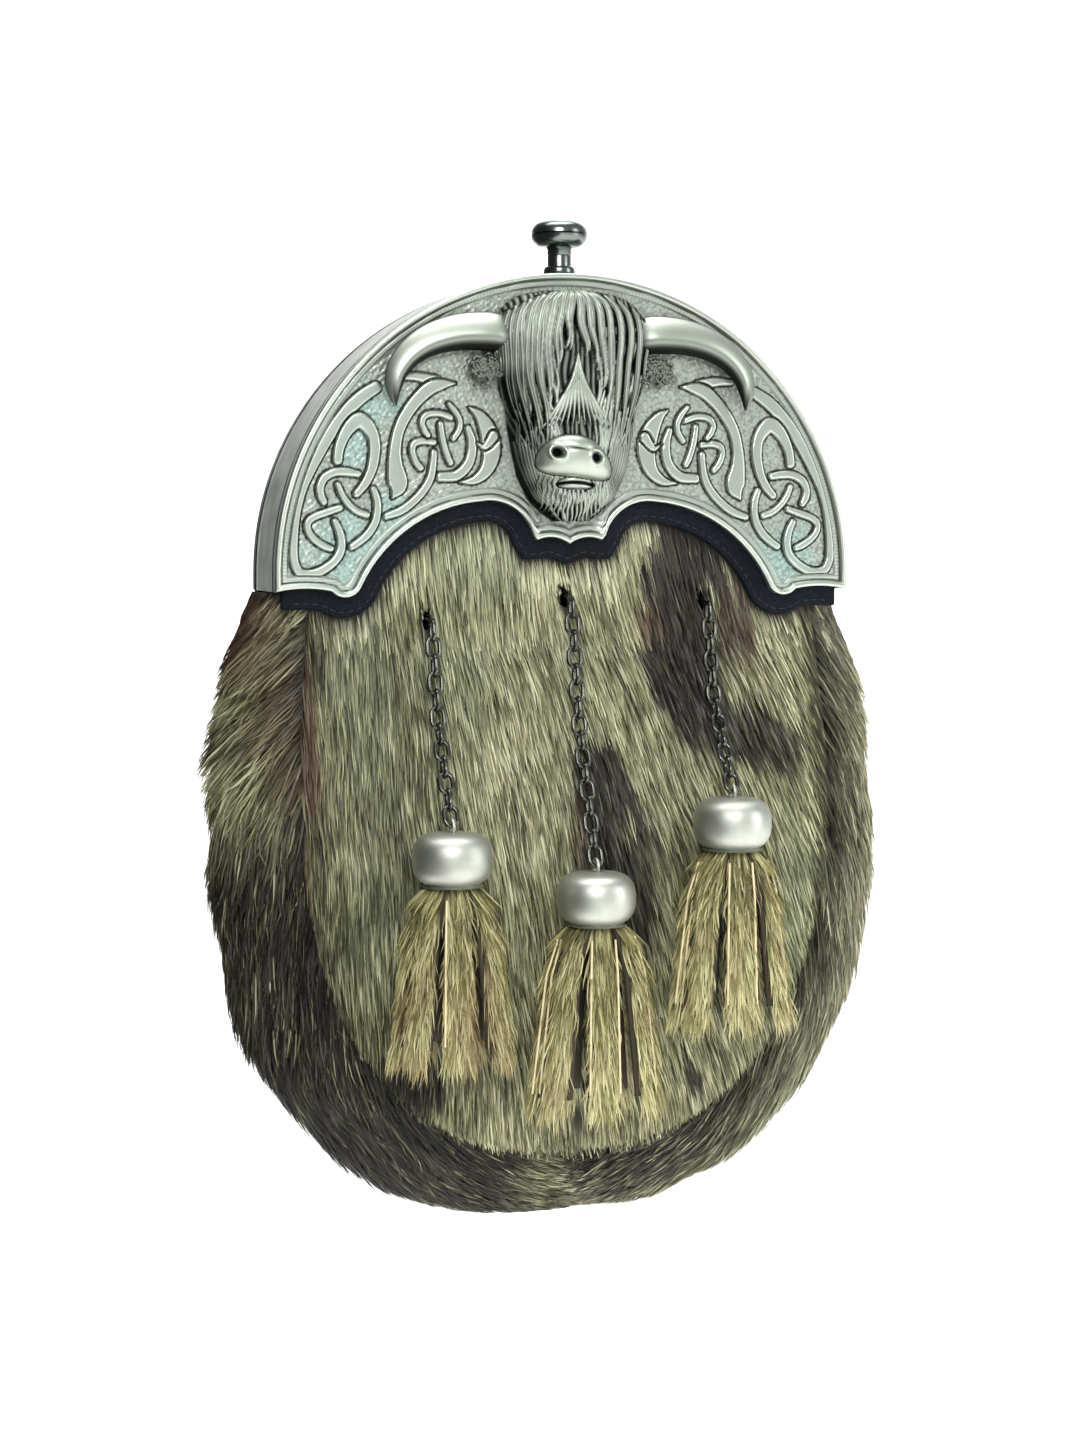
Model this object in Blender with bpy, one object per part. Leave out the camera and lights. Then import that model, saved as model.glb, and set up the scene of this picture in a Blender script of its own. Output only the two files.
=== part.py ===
"""Dress sporran: a fur pouch with a cast cantle, a press knob and three fur tassels on chains.

Metres, +Z up, +X to the wearer's left as seen from the front, front facing -Y.
The origin lies midway between the two strap keepers, on the back face of the leather back.
The cantle's half circle is centred on the same point, so its radius is measured from the Z = 0 line.
"""

import math

import bmesh
import bpy
import numpy as np
from mathutils import Vector

MM = 0.001

# Clearance between pieces that touch on the real object
SEAT_GAP = 0.3 * MM

# Cantle: plate, side band and rear arch
CANTLE_RADIUS = 77.0 * MM
BAND_DEPTH = 24.0 * MM
BAND_THICKNESS = 1.6 * MM
PLATE_THICKNESS = 1.5 * MM
RIM_WIDTH = 1.7 * MM
RIM_HEIGHT = 1.2 * MM
KNOT_HEIGHT = 0.9 * MM
ARCH_WIDTH = 7.5 * MM
ARCH_THICKNESS = 1.6 * MM
ARC_STEPS = 30
ARC_TURN = math.radians(16)

# Charts of the cantle are drawn in hundredths of its radius
CHART = CANTLE_RADIUS / 100

# Cow head casting
HEAD_RELIEF = 6.4 * MM
HEAD_BASE = 0.8 * MM
MUZZLE_RELIEF = 9.2 * MM

# Press knob and its collar
KNOB_RADIUS = 7.4 * MM
KNOB_HEIGHT = 6.6 * MM
STEM_RADIUS = 3.1 * MM
STEM_SHOW = 5.0 * MM
COLLAR_RADIUS = 4.1 * MM
COLLAR_HEIGHT = 2.2 * MM
STEM_CLEARANCE = 0.3 * MM
KNOB_SETBACK = 7.0 * MM
RETAINER_RADIUS = 4.4 * MM
RETAINER_HEIGHT = 1.5 * MM
KNOB_SIDES = 15

# Leather
BACK_THICKNESS = 2.2 * MM
APRON_THICKNESS = 2.0 * MM
APRON_MARGIN = 5.3 * MM
KEEPER_SPACING = 100.0 * MM
KEEPER_WIDTH = 20.0 * MM
KEEPER_THICKNESS = 2.0 * MM
KEEPER_PASSAGE = 26.0 * MM
KEEPER_DEPTH = 5.2 * MM
KEEPER_FOOT = 6.0 * MM

# Pouch: outline of the back, and how far the front panel stands inside it
HIDE_THICKNESS = 2.0 * MM
BAG_HALF_WIDTH = 83.5 * MM
BAG_DROP = 160.0 * MM
WIDEST_DROP = 55.0 * MM
BORDER_SIDE = 13.5 * MM
BORDER_BOTTOM = 9.5 * MM
BORDER_TOP = 10.0 * MM
BAG_POWER = 2.35
WIDEST_SHARE = 0.4
PANEL_ROUND_SHARE = 0.57
EDGE_DEPTH = 31.0 * MM
BELLY_RISE = 7.0 * MM
GUSSET_BULGE = 4.0 * MM
FUR_ON_PANEL = 3.0 * MM
FUR_ON_GUSSET = 6.0 * MM
LOCK_SHARE = 0.35
FUR_START = 4.0 * MM
FUR_RISE = 7.0 * MM
PANEL_COLUMNS = 10
PANEL_ROUND_ROWS = 7
GUSSET_ROWS = 4
GUSSET_HALF_COLUMNS = 17

# Chains
WIRE_RADIUS = 0.42 * MM
LINK_INSIDE = 4.2 * MM
LINK_HALF_WIDTH = 1.65 * MM
LINK_BITE = 0.2 * MM
LINK_END_STEPS = 4
EYE_STEPS = 10
TOGGLE_SIDES = 6
SHANK_RADIUS = 0.7 * MM
WIRE_SIDES = 5
SLIT_WIDTH = 5.6 * MM
SLIT_HEIGHT = 8.0 * MM
TOGGLE_LENGTH = 11.0 * MM
TOGGLE_RADIUS = 0.9 * MM

# Tassels
CAP_RADIUS = 10.1 * MM
CAP_HEIGHT = 13.5 * MM
CAP_WALL = 1.2 * MM
CAP_MOUTH = 7.4 * MM
CAP_SIDES = 10
EYE_RADIUS = 1.75 * MM
TASSEL_STRIPS = 7
TASSEL_HEAD_SIDES = 8
TASSEL_STRIP_WIDTH = 9.6 * MM
TASSEL_STRIP_THICKNESS = 3.0 * MM
TASSEL_HALF_DEPTH = 8.6 * MM

# Heights of the front panel's upper rows as shares of the drop to its widest, closer round the apron's edge
PANEL_ROWS = (0.49, 0.164, 0.055, -0.027, -0.100, -0.173, -0.245, -0.364, -0.527, -0.745)

# Each tassel: name, X, height of its slit, height of its cap's middle, hair below the cap, half width of the hem
TASSELS = (
    ("left", -37.0 * MM, -10.5 * MM, -70.0 * MM, 45.0 * MM, 16.0 * MM),
    ("centre", 0.0 * MM, -5.0 * MM, -81.0 * MM, 48.0 * MM, 18.0 * MM),
    ("right", 37.5 * MM, -6.5 * MM, -63.5 * MM, 45.0 * MM, 16.5 * MM),
)

# Depths, counted forward from the back face of the leather back
BAND_BACK_Y = -BACK_THICKNESS - SEAT_GAP
BAND_FRONT_Y = BAND_BACK_Y - BAND_DEPTH
PLATE_BACK_Y = BAND_FRONT_Y - SEAT_GAP
GROUND_Y = PLATE_BACK_Y - PLATE_THICKNESS
RIM_Y = GROUND_Y - RIM_HEIGHT
APRON_BACK_Y = BAND_FRONT_Y + APRON_THICKNESS
PANEL_TOP_Y = APRON_BACK_Y + SEAT_GAP
BAND_INSIDE = CANTLE_RADIUS - BAND_THICKNESS

# Lower edge of the plate, right half, as arcs: start, middle and end of each in chart units
LOWER_EDGE_ARCS = (
    ((100.0, -5.3), (90.3, -4.2), (81.2, -5.1)),
    ((81.2, -5.1), (74.8, -6.8), (71.4, -3.4)),
    ((71.4, -3.4), (54.0, 16.4), (30.5, 24.4)),
    ((30.5, 24.4), (18.4, 21.6), (12.1, 11.2)),
    ((12.1, 11.2), (6.0, 12.5), (0.0, 10.3)),
)

LEG_DROP = -LOWER_EDGE_ARCS[0][0][1] * CHART
BELLY_TOP = -LEG_DROP - APRON_MARGIN - FUR_START / 2

# Knotwork of one side: each strand is rows of X, Z and half width in chart units
KNOT_STRANDS = (
    ((67.8, 61.7, 1.0), (74.7, 53.1, 1.3), (82.6, 41.6, 1.4), (89.9, 26.6, 1.4), (93.8, 11.7, 1.4),
     (94.3, 3.8, 1.4), (90.4, 0.1, 1.4), (84.4, 1.2, 1.3), (78.7, 8.1, 1.3), (79.4, 16.4, 1.3)),
    ((78.3, 21.8, 1.2), (86.2, 20.3, 1.2), (89.6, 15.3, 1.2), (86.2, 10.4, 1.2), (82.1, 9.0, 1.2)),
    ((72.7, 33.6, 1.2), (79.9, 34.3, 1.2), (84.8, 30.1, 1.2), (83.6, 23.9, 1.2)),
    ((79.5, 37.5, 1.2), (78.3, 43.1, 1.3), (74.5, 48.8, 1.9), (71.0, 50.9, 2.5), (67.1, 46.2, 2.1),
     (66.9, 37.4, 1.7), (69.2, 31.2, 1.4), (72.7, 26.0, 1.2)),
    ((78.7, 29.7, 1.2), (75.6, 23.4, 1.2), (69.7, 19.1, 1.2)),
    ((67.0, 27.5, 1.2), (65.7, 21.6, 1.2), (68.8, 14.3, 1.2), (74.4, 9.6, 1.2)),
    ((39.7, 62.9, 0.5), (45.5, 62.7, 1.6), (51.7, 60.3, 1.3), (58.3, 50.4, 1.6), (60.9, 40.8, 1.9),
     (59.9, 31.9, 2.3), (60.8, 26.0, 0.5)),
    ((47.3, 43.9, 1.0), (52.7, 43.1, 1.0), (53.5, 38.2, 1.0), (50.8, 34.7, 1.0)),
    ((41.8, 52.9, 1.0), (48.8, 53.2, 1.0), (50.5, 47.5, 1.0)),
    ((44.5, 49.1, 1.0), (43.9, 43.6, 1.0), (42.3, 37.1, 1.0)),
    ((47.3, 40.5, 1.0), (47.4, 32.7, 1.2), (52.7, 23.9, 1.2), (61.8, 19.4, 1.2)),
    ((34.8, 46.1, 1.0), (34.2, 40.3, 1.2), (37.9, 34.5, 1.2), (43.9, 32.9, 1.2)),
    ((40.1, 56.4, 0.8), (37.7, 51.2, 1.0), (40.1, 45.3, 1.0)),
    ((33.9, 54.0, 0.5), (28.6, 51.7, 1.8), (25.5, 44.2, 2.3), (26.6, 35.3, 1.8), (36.4, 30.6, 0.5)),
)

# Cow head, top to chin: height and half width in chart units, and share of the head's relief
HEAD_ROWS = (
    (93.5, 7.8, 0.20),
    (91.2, 16.6, 0.60),
    (85.7, 22.9, 0.88),
    (76.6, 26.5, 1.00),
    (66.2, 25.2, 0.92),
    (55.8, 22.3, 0.88),
    (45.5, 20.1, 0.96),
    (35.1, 18.4, 0.92),
    (26.6, 15.6, 0.78),
    (21.4, 10.9, 0.55),
    (18.2, 6.0, 0.30),
)

# Horn and ear of one side: X, Z and radius in chart units, and share of the head's relief of the centreline
HORN_ROWS = (
    (19.5, 79.0, 6.0, 0.45),
    (29.9, 80.0, 6.4, 0.42),
    (39.6, 79.5, 6.0, 0.40),
    (48.7, 76.9, 5.3, 0.42),
    (55.6, 72.5, 4.5, 0.45),
    (60.0, 66.8, 3.8, 0.50),
    (61.4, 61.0, 2.7, 0.55),
    (60.9, 55.3, 0.9, 0.60),
)
EAR_ROWS = (
    (18.2, 70.1, 5.5, 0.25),
    (26.0, 68.3, 5.7, 0.25),
    (32.5, 65.7, 4.2, 0.22),
    (36.4, 62.9, 1.6, 0.20),
)
MUZZLE_CENTRE_Z = 41.6
MUZZLE_HALF_WIDTH = 13.2
MUZZLE_HALF_HEIGHT = 8.2

# Knob head, from its rim under the head to its crown: share of radius and of height
KNOB_PROFILE = ((0.62, 0.0), (0.90, 0.14), (1.0, 0.42), (0.95, 0.70), (0.72, 0.93), (0.30, 1.0))

# Tassel cap, from the eye down the outside to the mouth: share of radius and of height from the middle
CAP_PROFILE = ((0.62, 0.48), (0.92, 0.28), (1.0, 0.0), (0.94, -0.28))

# Tassel, from inside the cap to the hem: share of hair length, of hem half width and of half depth
TASSEL_ROWS = ((0.0, 0.34, 0.55), (0.30, 0.54, 0.68), (1.0, 0.98, 0.84))


# General modelling


def material(name, colour, roughness, metallic):
    """A plain Principled finish."""
    made = bpy.data.materials.new(name)
    made.use_nodes = True
    shader = made.node_tree.nodes["Principled BSDF"]
    shader.inputs["Base Color"].default_value = (*colour, 1.0)
    shader.inputs["Roughness"].default_value = roughness
    shader.inputs["Metallic"].default_value = metallic
    return made


def object_from(bm, name, finish):
    """An object that holds the finished mesh, shaded smooth up to its sharp edges."""
    mesh = bpy.data.meshes.new(name)
    bm.to_mesh(mesh)
    bm.free()
    mesh.shade_smooth()
    mesh.set_sharp_from_angle(angle=math.radians(40))
    made = bpy.data.objects.new(name, mesh)
    bpy.context.scene.collection.objects.link(made)
    if finish:
        mesh.materials.append(finish)
    return made


def helper(made):
    """Marks an object as a cutter or a piece to fuse, which isn't a sub-part itself."""
    made.hide_render = True
    made.display_type = "WIRE"
    return made


def combine(target, other, operation, self_overlap=False):
    """Adds an exact Boolean of target with a helper object."""
    step = target.modifiers.new(operation.lower(), "BOOLEAN")
    step.operation = operation
    step.solver = "EXACT"
    step.use_self = self_overlap
    step.object = helper(other)


def skin(bm, rings):
    """A closed tube through rings of points, with both ends filled."""
    loops = [[bm.verts.new(point) for point in ring] for ring in rings]
    for lower, upper in zip(loops, loops[1:]):
        for i in range(len(lower)):
            bm.faces.new((lower[i - 1], lower[i], upper[i], upper[i - 1]))
    bm.faces.new(loops[0])
    bm.faces.new(loops[-1])


def closed(bm):
    """The same mesh with its faces turned outwards."""
    bmesh.ops.recalc_face_normals(bm, faces=bm.faces[:])
    return bm


def prism(name, outline, near_y, far_y, finish=None):
    """A plate with an outline of (x, z) points between two depths."""
    bm = bmesh.new()
    face = bm.faces.new([bm.verts.new((x, near_y, z)) for x, z in outline])
    made = bmesh.ops.extrude_face_region(bm, geom=[face])
    moved = [part for part in made["geom"] if isinstance(part, bmesh.types.BMVert)]
    bmesh.ops.translate(bm, verts=moved, vec=(0.0, far_y - near_y, 0.0))
    return object_from(closed(bm), name, finish)


def sheet(name, front, back, finish):
    """A closed wall between two grids of points of the same shape, rows by columns by three."""
    rows, columns = front.shape[:2]
    bm = bmesh.new()
    bmesh.ops.create_grid(bm, x_segments=columns - 1, y_segments=rows - 1, size=1.0)
    place = bm.verts.layers.int.new("place")
    for index, vert in enumerate(bm.verts):
        vert[place] = index
        vert.co = back.reshape(-1, 3)[index]
    made = bmesh.ops.extrude_face_region(bm, geom=bm.faces[:])
    for part in made["geom"]:
        if isinstance(part, bmesh.types.BMVert):
            part.co = front.reshape(-1, 3)[part[place]]
    bmesh.ops.triangulate(bm, faces=bm.faces[:])
    return object_from(closed(bm), name, finish)


def lathe(name, profile, centre, sides, finish):
    """A turned solid round a vertical axis through centre, from (radius, height) points of a closed section."""
    bm = bmesh.new()
    points = [bm.verts.new((centre[0] + radius, centre[1], centre[2] + height)) for radius, height in profile]
    edges = [bm.edges.new((points[i - 1], points[i])) for i in range(len(points))]
    bmesh.ops.spin(
        bm, geom=points + edges, cent=centre, axis=(0, 0, 1), angle=math.tau, steps=sides, use_merge=True
    )
    bmesh.ops.remove_doubles(bm, verts=bm.verts[:], dist=1e-6)
    return object_from(closed(bm), name, finish)


def arc_points(start, middle, end):
    """Points on the arc through three points, without the last one."""
    ax, az, bx, bz, cx, cz = *start, *middle, *end
    twice = 2 * (ax * (bz - cz) + bx * (cz - az) + cx * (az - bz))
    a2, b2, c2 = ax * ax + az * az, bx * bx + bz * bz, cx * cx + cz * cz
    ox = (a2 * (bz - cz) + b2 * (cz - az) + c2 * (az - bz)) / twice
    oz = (a2 * (cx - bx) + b2 * (ax - cx) + c2 * (bx - ax)) / twice
    first = math.atan2(az - oz, ax - ox)
    half = math.remainder(math.atan2(bz - oz, bx - ox) - first, math.tau)
    sweep = half + math.remainder(math.atan2(cz - oz, cx - ox) - first - half, math.tau)
    radius = math.hypot(ax - ox, az - oz)
    steps = max(2, math.ceil(abs(sweep) / ARC_TURN))
    return [
        (ox + radius * math.cos(first + sweep * i / steps), oz + radius * math.sin(first + sweep * i / steps))
        for i in range(steps)
    ]


def mirrored(right_half):
    """A curve from its right end to the middle, continued to the left end."""
    return right_half + [(-x, z) for x, z in reversed(right_half[:-1])]


def offset_curve(points, distance):
    """An open curve moved to its left by distance, without the stretches that would fold over."""
    line = np.array(points)
    step = np.diff(line, axis=0)
    normal = np.stack([-step[:, 1], step[:, 0]], 1) / np.linalg.norm(step, axis=1)[:, None]
    joined = np.vstack([normal[:1], normal[:-1] + normal[1:], normal[-1:]])
    joined /= np.linalg.norm(joined, axis=1)[:, None]
    stretch = 1 / np.maximum((joined * np.vstack([normal, normal[-1:]])).sum(1), 0.5)
    moved = line + joined * (distance * stretch)[:, None]
    kept = []
    for point in moved:
        along = np.clip(((point - line[:-1]) * step).sum(1) / (step**2).sum(1), 0, 1)
        nearest = np.linalg.norm(line[:-1] + along[:, None] * step - point, axis=1).min()
        if nearest > 0.985 * abs(distance):
            kept.append(tuple(point))
    return kept


def smooth(share):
    """A soft ramp from 0 to 1."""
    share = np.clip(share, 0.0, 1.0)
    return share * share * (3 - 2 * share)


# Outlines of the cantle


def half_circle(radius, steps=ARC_STEPS):
    """Points of the cantle's arc from its left end over the top to its right end."""
    return [
        (-radius * math.cos(math.pi * i / steps), radius * math.sin(math.pi * i / steps)) for i in range(steps + 1)
    ]


def plate_lower_edge():
    """The plate's scalloped edge, from its right corner to its left corner."""
    right = []
    for start, middle, end in LOWER_EDGE_ARCS:
        right += arc_points(start, middle, end)
    right.append(LOWER_EDGE_ARCS[-1][2])
    return [(x * CHART, z * CHART) for x, z in mirrored(right)]


def plate_recess():
    """The outline of the sunk ground, inside the rim."""
    edge = offset_curve(plate_lower_edge(), -RIM_WIDTH)
    inner = CANTLE_RADIUS - RIM_WIDTH
    edge = [(x, z) for x, z in edge if abs(x) < inner - RIM_WIDTH / 2]
    corner_z = edge[0][1]
    return half_circle(inner) + [(inner, corner_z)] + edge + [(-inner, corner_z)]


def apron_lower_edge():
    """The leather's edge below the plate, from right to left."""
    limit = BAND_INSIDE - SEAT_GAP
    edge = offset_curve(plate_lower_edge(), APRON_MARGIN)
    edge = [(x, z) for x, z in edge if abs(x) < limit - BAND_THICKNESS]
    return [(limit, edge[0][1])] + edge + [(-limit, edge[-1][1])]


def arch_strip(outer, inner, leg):
    """An arch with two short legs, between two radii."""
    outside = [(-outer, -leg)] + half_circle(outer) + [(outer, -leg)]
    inside = [(inner, -leg)] + half_circle(inner)[::-1] + [(-inner, -leg)]
    return outside + inside


# Outline and depth of the pouch


def bag_station(share, half_width, drop, top_half_width):
    """A point of a pouch outline, from share 0 at its top right to share 1 at its bottom middle."""
    if share < WIDEST_SHARE:
        down = share / WIDEST_SHARE
        narrower = (half_width - top_half_width) * (1 - down) ** 2
        return half_width - narrower, -LEG_DROP - SEAT_GAP - (WIDEST_DROP - LEG_DROP - SEAT_GAP) * down
    turn = math.pi / 2 * (share - WIDEST_SHARE) / (1 - WIDEST_SHARE)
    across = max(math.cos(turn), 0.0) ** (2 / BAG_POWER)
    downward = math.sin(turn) ** (2 / BAG_POWER)
    return half_width * across, -WIDEST_DROP - (drop - WIDEST_DROP) * downward


def back_station(share):
    """A point of the back panel's outline."""
    return bag_station(share, BAG_HALF_WIDTH, BAG_DROP, CANTLE_RADIUS)


def front_station(share):
    """A point of the front panel's outline, inside the back's by the border."""
    return bag_station(
        share, BAG_HALF_WIDTH - BORDER_SIDE, BAG_DROP - BORDER_BOTTOM, CANTLE_RADIUS - BORDER_TOP
    )


def edge_y(z):
    """Depth of the front panel's seam."""
    down = smooth((BELLY_TOP - z) / (1.2 * WIDEST_DROP))
    return PANEL_TOP_Y + (-EDGE_DEPTH - PANEL_TOP_Y) * down


def panel_y(x, z, half_width):
    """Depth of the hide's face at a point of the front panel."""
    across = 1 - np.clip(np.abs(x) / half_width, 0, 1) ** 2.4
    down = np.clip((BELLY_TOP - z) / (BELLY_TOP + BAG_DROP - BORDER_BOTTOM), 0, 1)
    return edge_y(z) - BELLY_RISE * across * np.sin(math.pi * down**0.9) ** 0.8


def half_width_at(z):
    """Half width of the front panel at a height."""
    stations = [front_station(i / 60) for i in range(61)]
    heights = [-point[1] for point in stations]
    return float(np.interp(-z, heights, [point[0] for point in stations]))


def fur_ramp(x, z):
    """0 where the apron covers the hide or a neighbouring point of the grid, rising to 1 below its edge."""
    edge = sorted(apron_lower_edge())
    reach = 2 * CANTLE_RADIUS / PANEL_COLUMNS
    nearby = np.asarray(x)[..., None] + reach * np.linspace(-1, 1, 9)
    edge_z = np.interp(nearby, [point[0] for point in edge], [point[1] for point in edge]).min(axis=-1)
    return smooth((edge_z - FUR_START - z) / FUR_RISE)


# Cantle pieces


def knot_strand(bm, rows, side):
    """One raised strand of the knotwork, a ridge that is rooted in the plate."""
    line = np.array([(side * x, z) for x, z, _ in rows]) * CHART
    width = np.array([row[2] for row in rows]) * CHART
    ahead = np.gradient(line, axis=0)
    ahead /= np.linalg.norm(ahead, axis=1)[:, None]
    across = np.stack([-ahead[:, 1], ahead[:, 0]], 1)
    root_y = GROUND_Y + PLATE_THICKNESS / 3
    section = ((-1.0, root_y), (0.0, GROUND_Y - KNOT_HEIGHT), (1.0, root_y))
    rings = []
    for point, side_way, half in zip(line, across, width):
        rings.append([(*(point + side_way * half * out), y) for out, y in section])
    skin(bm, [[(x, y, z) for x, z, y in ring] for ring in rings])


def cantle_plate(finish):
    """The cast front plate: rim, sunk ground and raised knotwork."""
    outline = half_circle(CANTLE_RADIUS) + plate_lower_edge()
    plate = prism("cantle_plate", outline, RIM_Y, PLATE_BACK_Y, finish)
    recess = prism("plate_recess", plate_recess(), GROUND_Y, RIM_Y - RIM_HEIGHT)
    combine(plate, recess, "DIFFERENCE")
    bm = bmesh.new()
    for strand in KNOT_STRANDS:
        for side in (-1, 1):
            knot_strand(bm, strand, side)
    combine(plate, object_from(closed(bm), "knotwork", None), "UNION", self_overlap=True)
    return plate


def tapered_tube(name, rows, side):
    """A round horn or ear along rows of X, Z, radius and share of the relief."""
    curve = bpy.data.curves.new(name, "CURVE")
    curve.dimensions = "3D"
    curve.bevel_depth = CHART
    curve.bevel_resolution = 1
    curve.use_fill_caps = True
    line = curve.splines.new("POLY")
    line.points.add(len(rows) - 1)
    for point, (x, z, radius, relief) in zip(line.points, rows):
        point.co = (side * x * CHART, GROUND_Y - relief * HEAD_RELIEF, z * CHART, 1.0)
        point.radius = radius
    drawn = bpy.data.objects.new(name, curve)
    mesh = bpy.data.meshes.new_from_object(drawn)
    bpy.data.objects.remove(drawn)
    bm = bmesh.new()
    bm.from_mesh(mesh)
    bmesh.ops.remove_doubles(bm, verts=bm.verts[:], dist=1e-6)
    return object_from(closed(bm), name, None)


def cow_head(finish):
    """The head casting: a domed shaggy head with a muzzle, two ears and two horns, flat behind."""
    back_y = GROUND_Y - SEAT_GAP
    across = np.linspace(-1, 1, 9)
    rows = np.array(HEAD_ROWS)
    grid = np.zeros((len(rows), len(across), 3))
    grid[..., 0] = rows[:, 1:2] * across * CHART
    grid[..., 2] = rows[:, 0:1] * CHART
    dome = np.sqrt(1 - across**2) ** 0.8
    tufts = 1 - 0.08 * (np.arange(len(across)) % 2)
    front = grid.copy()
    front[..., 1] = back_y - HEAD_BASE - HEAD_RELIEF * rows[:, 2:3] * dome * tufts
    grid[..., 1] = back_y
    head = sheet("cow_head_mount", front, grid, finish)
    muzzle = bmesh.new()
    bmesh.ops.create_uvsphere(muzzle, u_segments=10, v_segments=6, radius=1.0)
    for vert in muzzle.verts:
        vert.co = (
            vert.co.x * MUZZLE_HALF_WIDTH * CHART,
            back_y - MUZZLE_RELIEF * (0.45 + 0.55 * vert.co.y),
            (MUZZLE_CENTRE_Z + vert.co.z * MUZZLE_HALF_HEIGHT) * CHART,
        )
    combine(head, object_from(closed(muzzle), "muzzle", None), "UNION")
    for side, word in ((-1, "left"), (1, "right")):
        combine(head, tapered_tube("horn_" + word, HORN_ROWS, side), "UNION")
        combine(head, tapered_tube("ear_" + word, EAR_ROWS, side), "UNION")
    reach = 1.2 * CANTLE_RADIUS
    behind = [(-reach, -reach), (reach, -reach), (reach, reach), (-reach, reach)]
    combine(head, prism("head_back_cut", behind, back_y, back_y + 3 * HEAD_RELIEF), "DIFFERENCE")
    return head


def knob_axis():
    """The X and Y of the knob, in the front half of the band."""
    return 0.0, BAND_FRONT_Y + KNOB_SETBACK


def cantle_band(finish):
    """The arched side band, with a hole at its top for the knob's stem."""
    strip = arch_strip(CANTLE_RADIUS, BAND_INSIDE, LEG_DROP)
    band = prism("cantle_band", strip, BAND_FRONT_Y, BAND_BACK_Y, finish)
    hole, below, above = STEM_RADIUS + STEM_CLEARANCE, -3 * BAND_THICKNESS, COLLAR_HEIGHT
    profile = [(0.0, below), (hole, below), (hole, above), (0.0, above)]
    cutter = lathe("stem_hole", profile, (*knob_axis(), CANTLE_RADIUS), KNOB_SIDES, None)
    combine(band, cutter, "DIFFERENCE")
    return band


def knob_collar(finish):
    """The turned collar that stands on the band round the stem."""
    bore = STEM_RADIUS + STEM_CLEARANCE
    foot = SEAT_GAP
    profile = [
        (bore, foot),
        (COLLAR_RADIUS, foot),
        (COLLAR_RADIUS, foot + 0.55 * COLLAR_HEIGHT),
        (bore + 0.45 * (COLLAR_RADIUS - bore), foot + COLLAR_HEIGHT),
        (bore, foot + COLLAR_HEIGHT),
    ]
    return lathe("knob_collar", profile, (*knob_axis(), CANTLE_RADIUS), KNOB_SIDES, finish)


def clasp_knob(finish):
    """The knob with its stem, and the retainer that keeps it in the band."""
    top = -BAND_THICKNESS - SEAT_GAP
    under_head = SEAT_GAP + COLLAR_HEIGHT + STEM_SHOW
    profile = [(0.0, top - RETAINER_HEIGHT), (RETAINER_RADIUS, top - RETAINER_HEIGHT), (RETAINER_RADIUS, top)]
    profile += [(STEM_RADIUS, top), (STEM_RADIUS, under_head)]
    profile += [(KNOB_RADIUS * out, under_head + KNOB_HEIGHT * up) for out, up in KNOB_PROFILE]
    profile.append((0.0, under_head + KNOB_HEIGHT))
    return lathe("clasp_knob", profile, (*knob_axis(), CANTLE_RADIUS), KNOB_SIDES, finish)


def back_arch(finish):
    """The plain rear half of the frame, on the outside of the leather back."""
    strip = arch_strip(CANTLE_RADIUS, CANTLE_RADIUS - ARCH_WIDTH, LEG_DROP)
    return prism("back_arch", strip, SEAT_GAP, SEAT_GAP + ARCH_THICKNESS, finish)


# Leather and fur pieces


def leather_apron(finish):
    """The leather behind the plate, which shows below its lower edge."""
    outline = half_circle(BAND_INSIDE - SEAT_GAP) + apron_lower_edge()
    return prism("leather_apron", outline, BAND_FRONT_Y, APRON_BACK_Y, finish)


def back_panel(finish):
    """The flat leather back."""
    right = [back_station(i / ARC_STEPS * 1.5) for i in range(ARC_STEPS * 2 // 3 + 1)]
    outline = half_circle(CANTLE_RADIUS) + mirrored(right)
    return prism("back_panel", outline, -BACK_THICKNESS, 0.0, finish)


def keeper(name, x, finish):
    """A leather keeper that the strap runs through, sewn to the back by its two feet."""
    near, far = SEAT_GAP, SEAT_GAP + KEEPER_DEPTH
    hole, end, wall = KEEPER_PASSAGE / 2, KEEPER_PASSAGE / 2 + KEEPER_FOOT, KEEPER_THICKNESS
    slope = 0.6 * wall
    inside = [(near, -end), (near, -hole), (far, slope - hole), (far, hole - slope), (near, hole), (near, end)]
    outside = [
        (near + wall, end),
        (near + wall, hole + slope),
        (far + wall, hole),
        (far + wall, -hole),
        (near + wall, -hole - slope),
        (near + wall, -end),
    ]
    bm = bmesh.new()
    rings = []
    for side in (x - KEEPER_WIDTH / 2, x + KEEPER_WIDTH / 2):
        rings.append([(side, y, z) for y, z in inside + outside])
    skin(bm, rings)
    return object_from(closed(bm), name, finish)


def panel_grid():
    """Rows by columns of the front panel's X and Z, from its tucked top to its bottom seam."""
    across = np.linspace(-1, 1, PANEL_COLUMNS + 1)
    heights = [(half_width_at(share * WIDEST_DROP), share * WIDEST_DROP) for share in PANEL_ROWS]
    heights += [
        front_station(WIDEST_SHARE + PANEL_ROUND_SHARE * i / PANEL_ROUND_ROWS) for i in range(PANEL_ROUND_ROWS + 1)
    ]
    grid = np.zeros((len(heights), len(across), 3))
    for row, (half_width, z) in enumerate(heights):
        grid[row, :, 0] = half_width * across
        grid[row, :, 2] = z
    return grid


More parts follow.
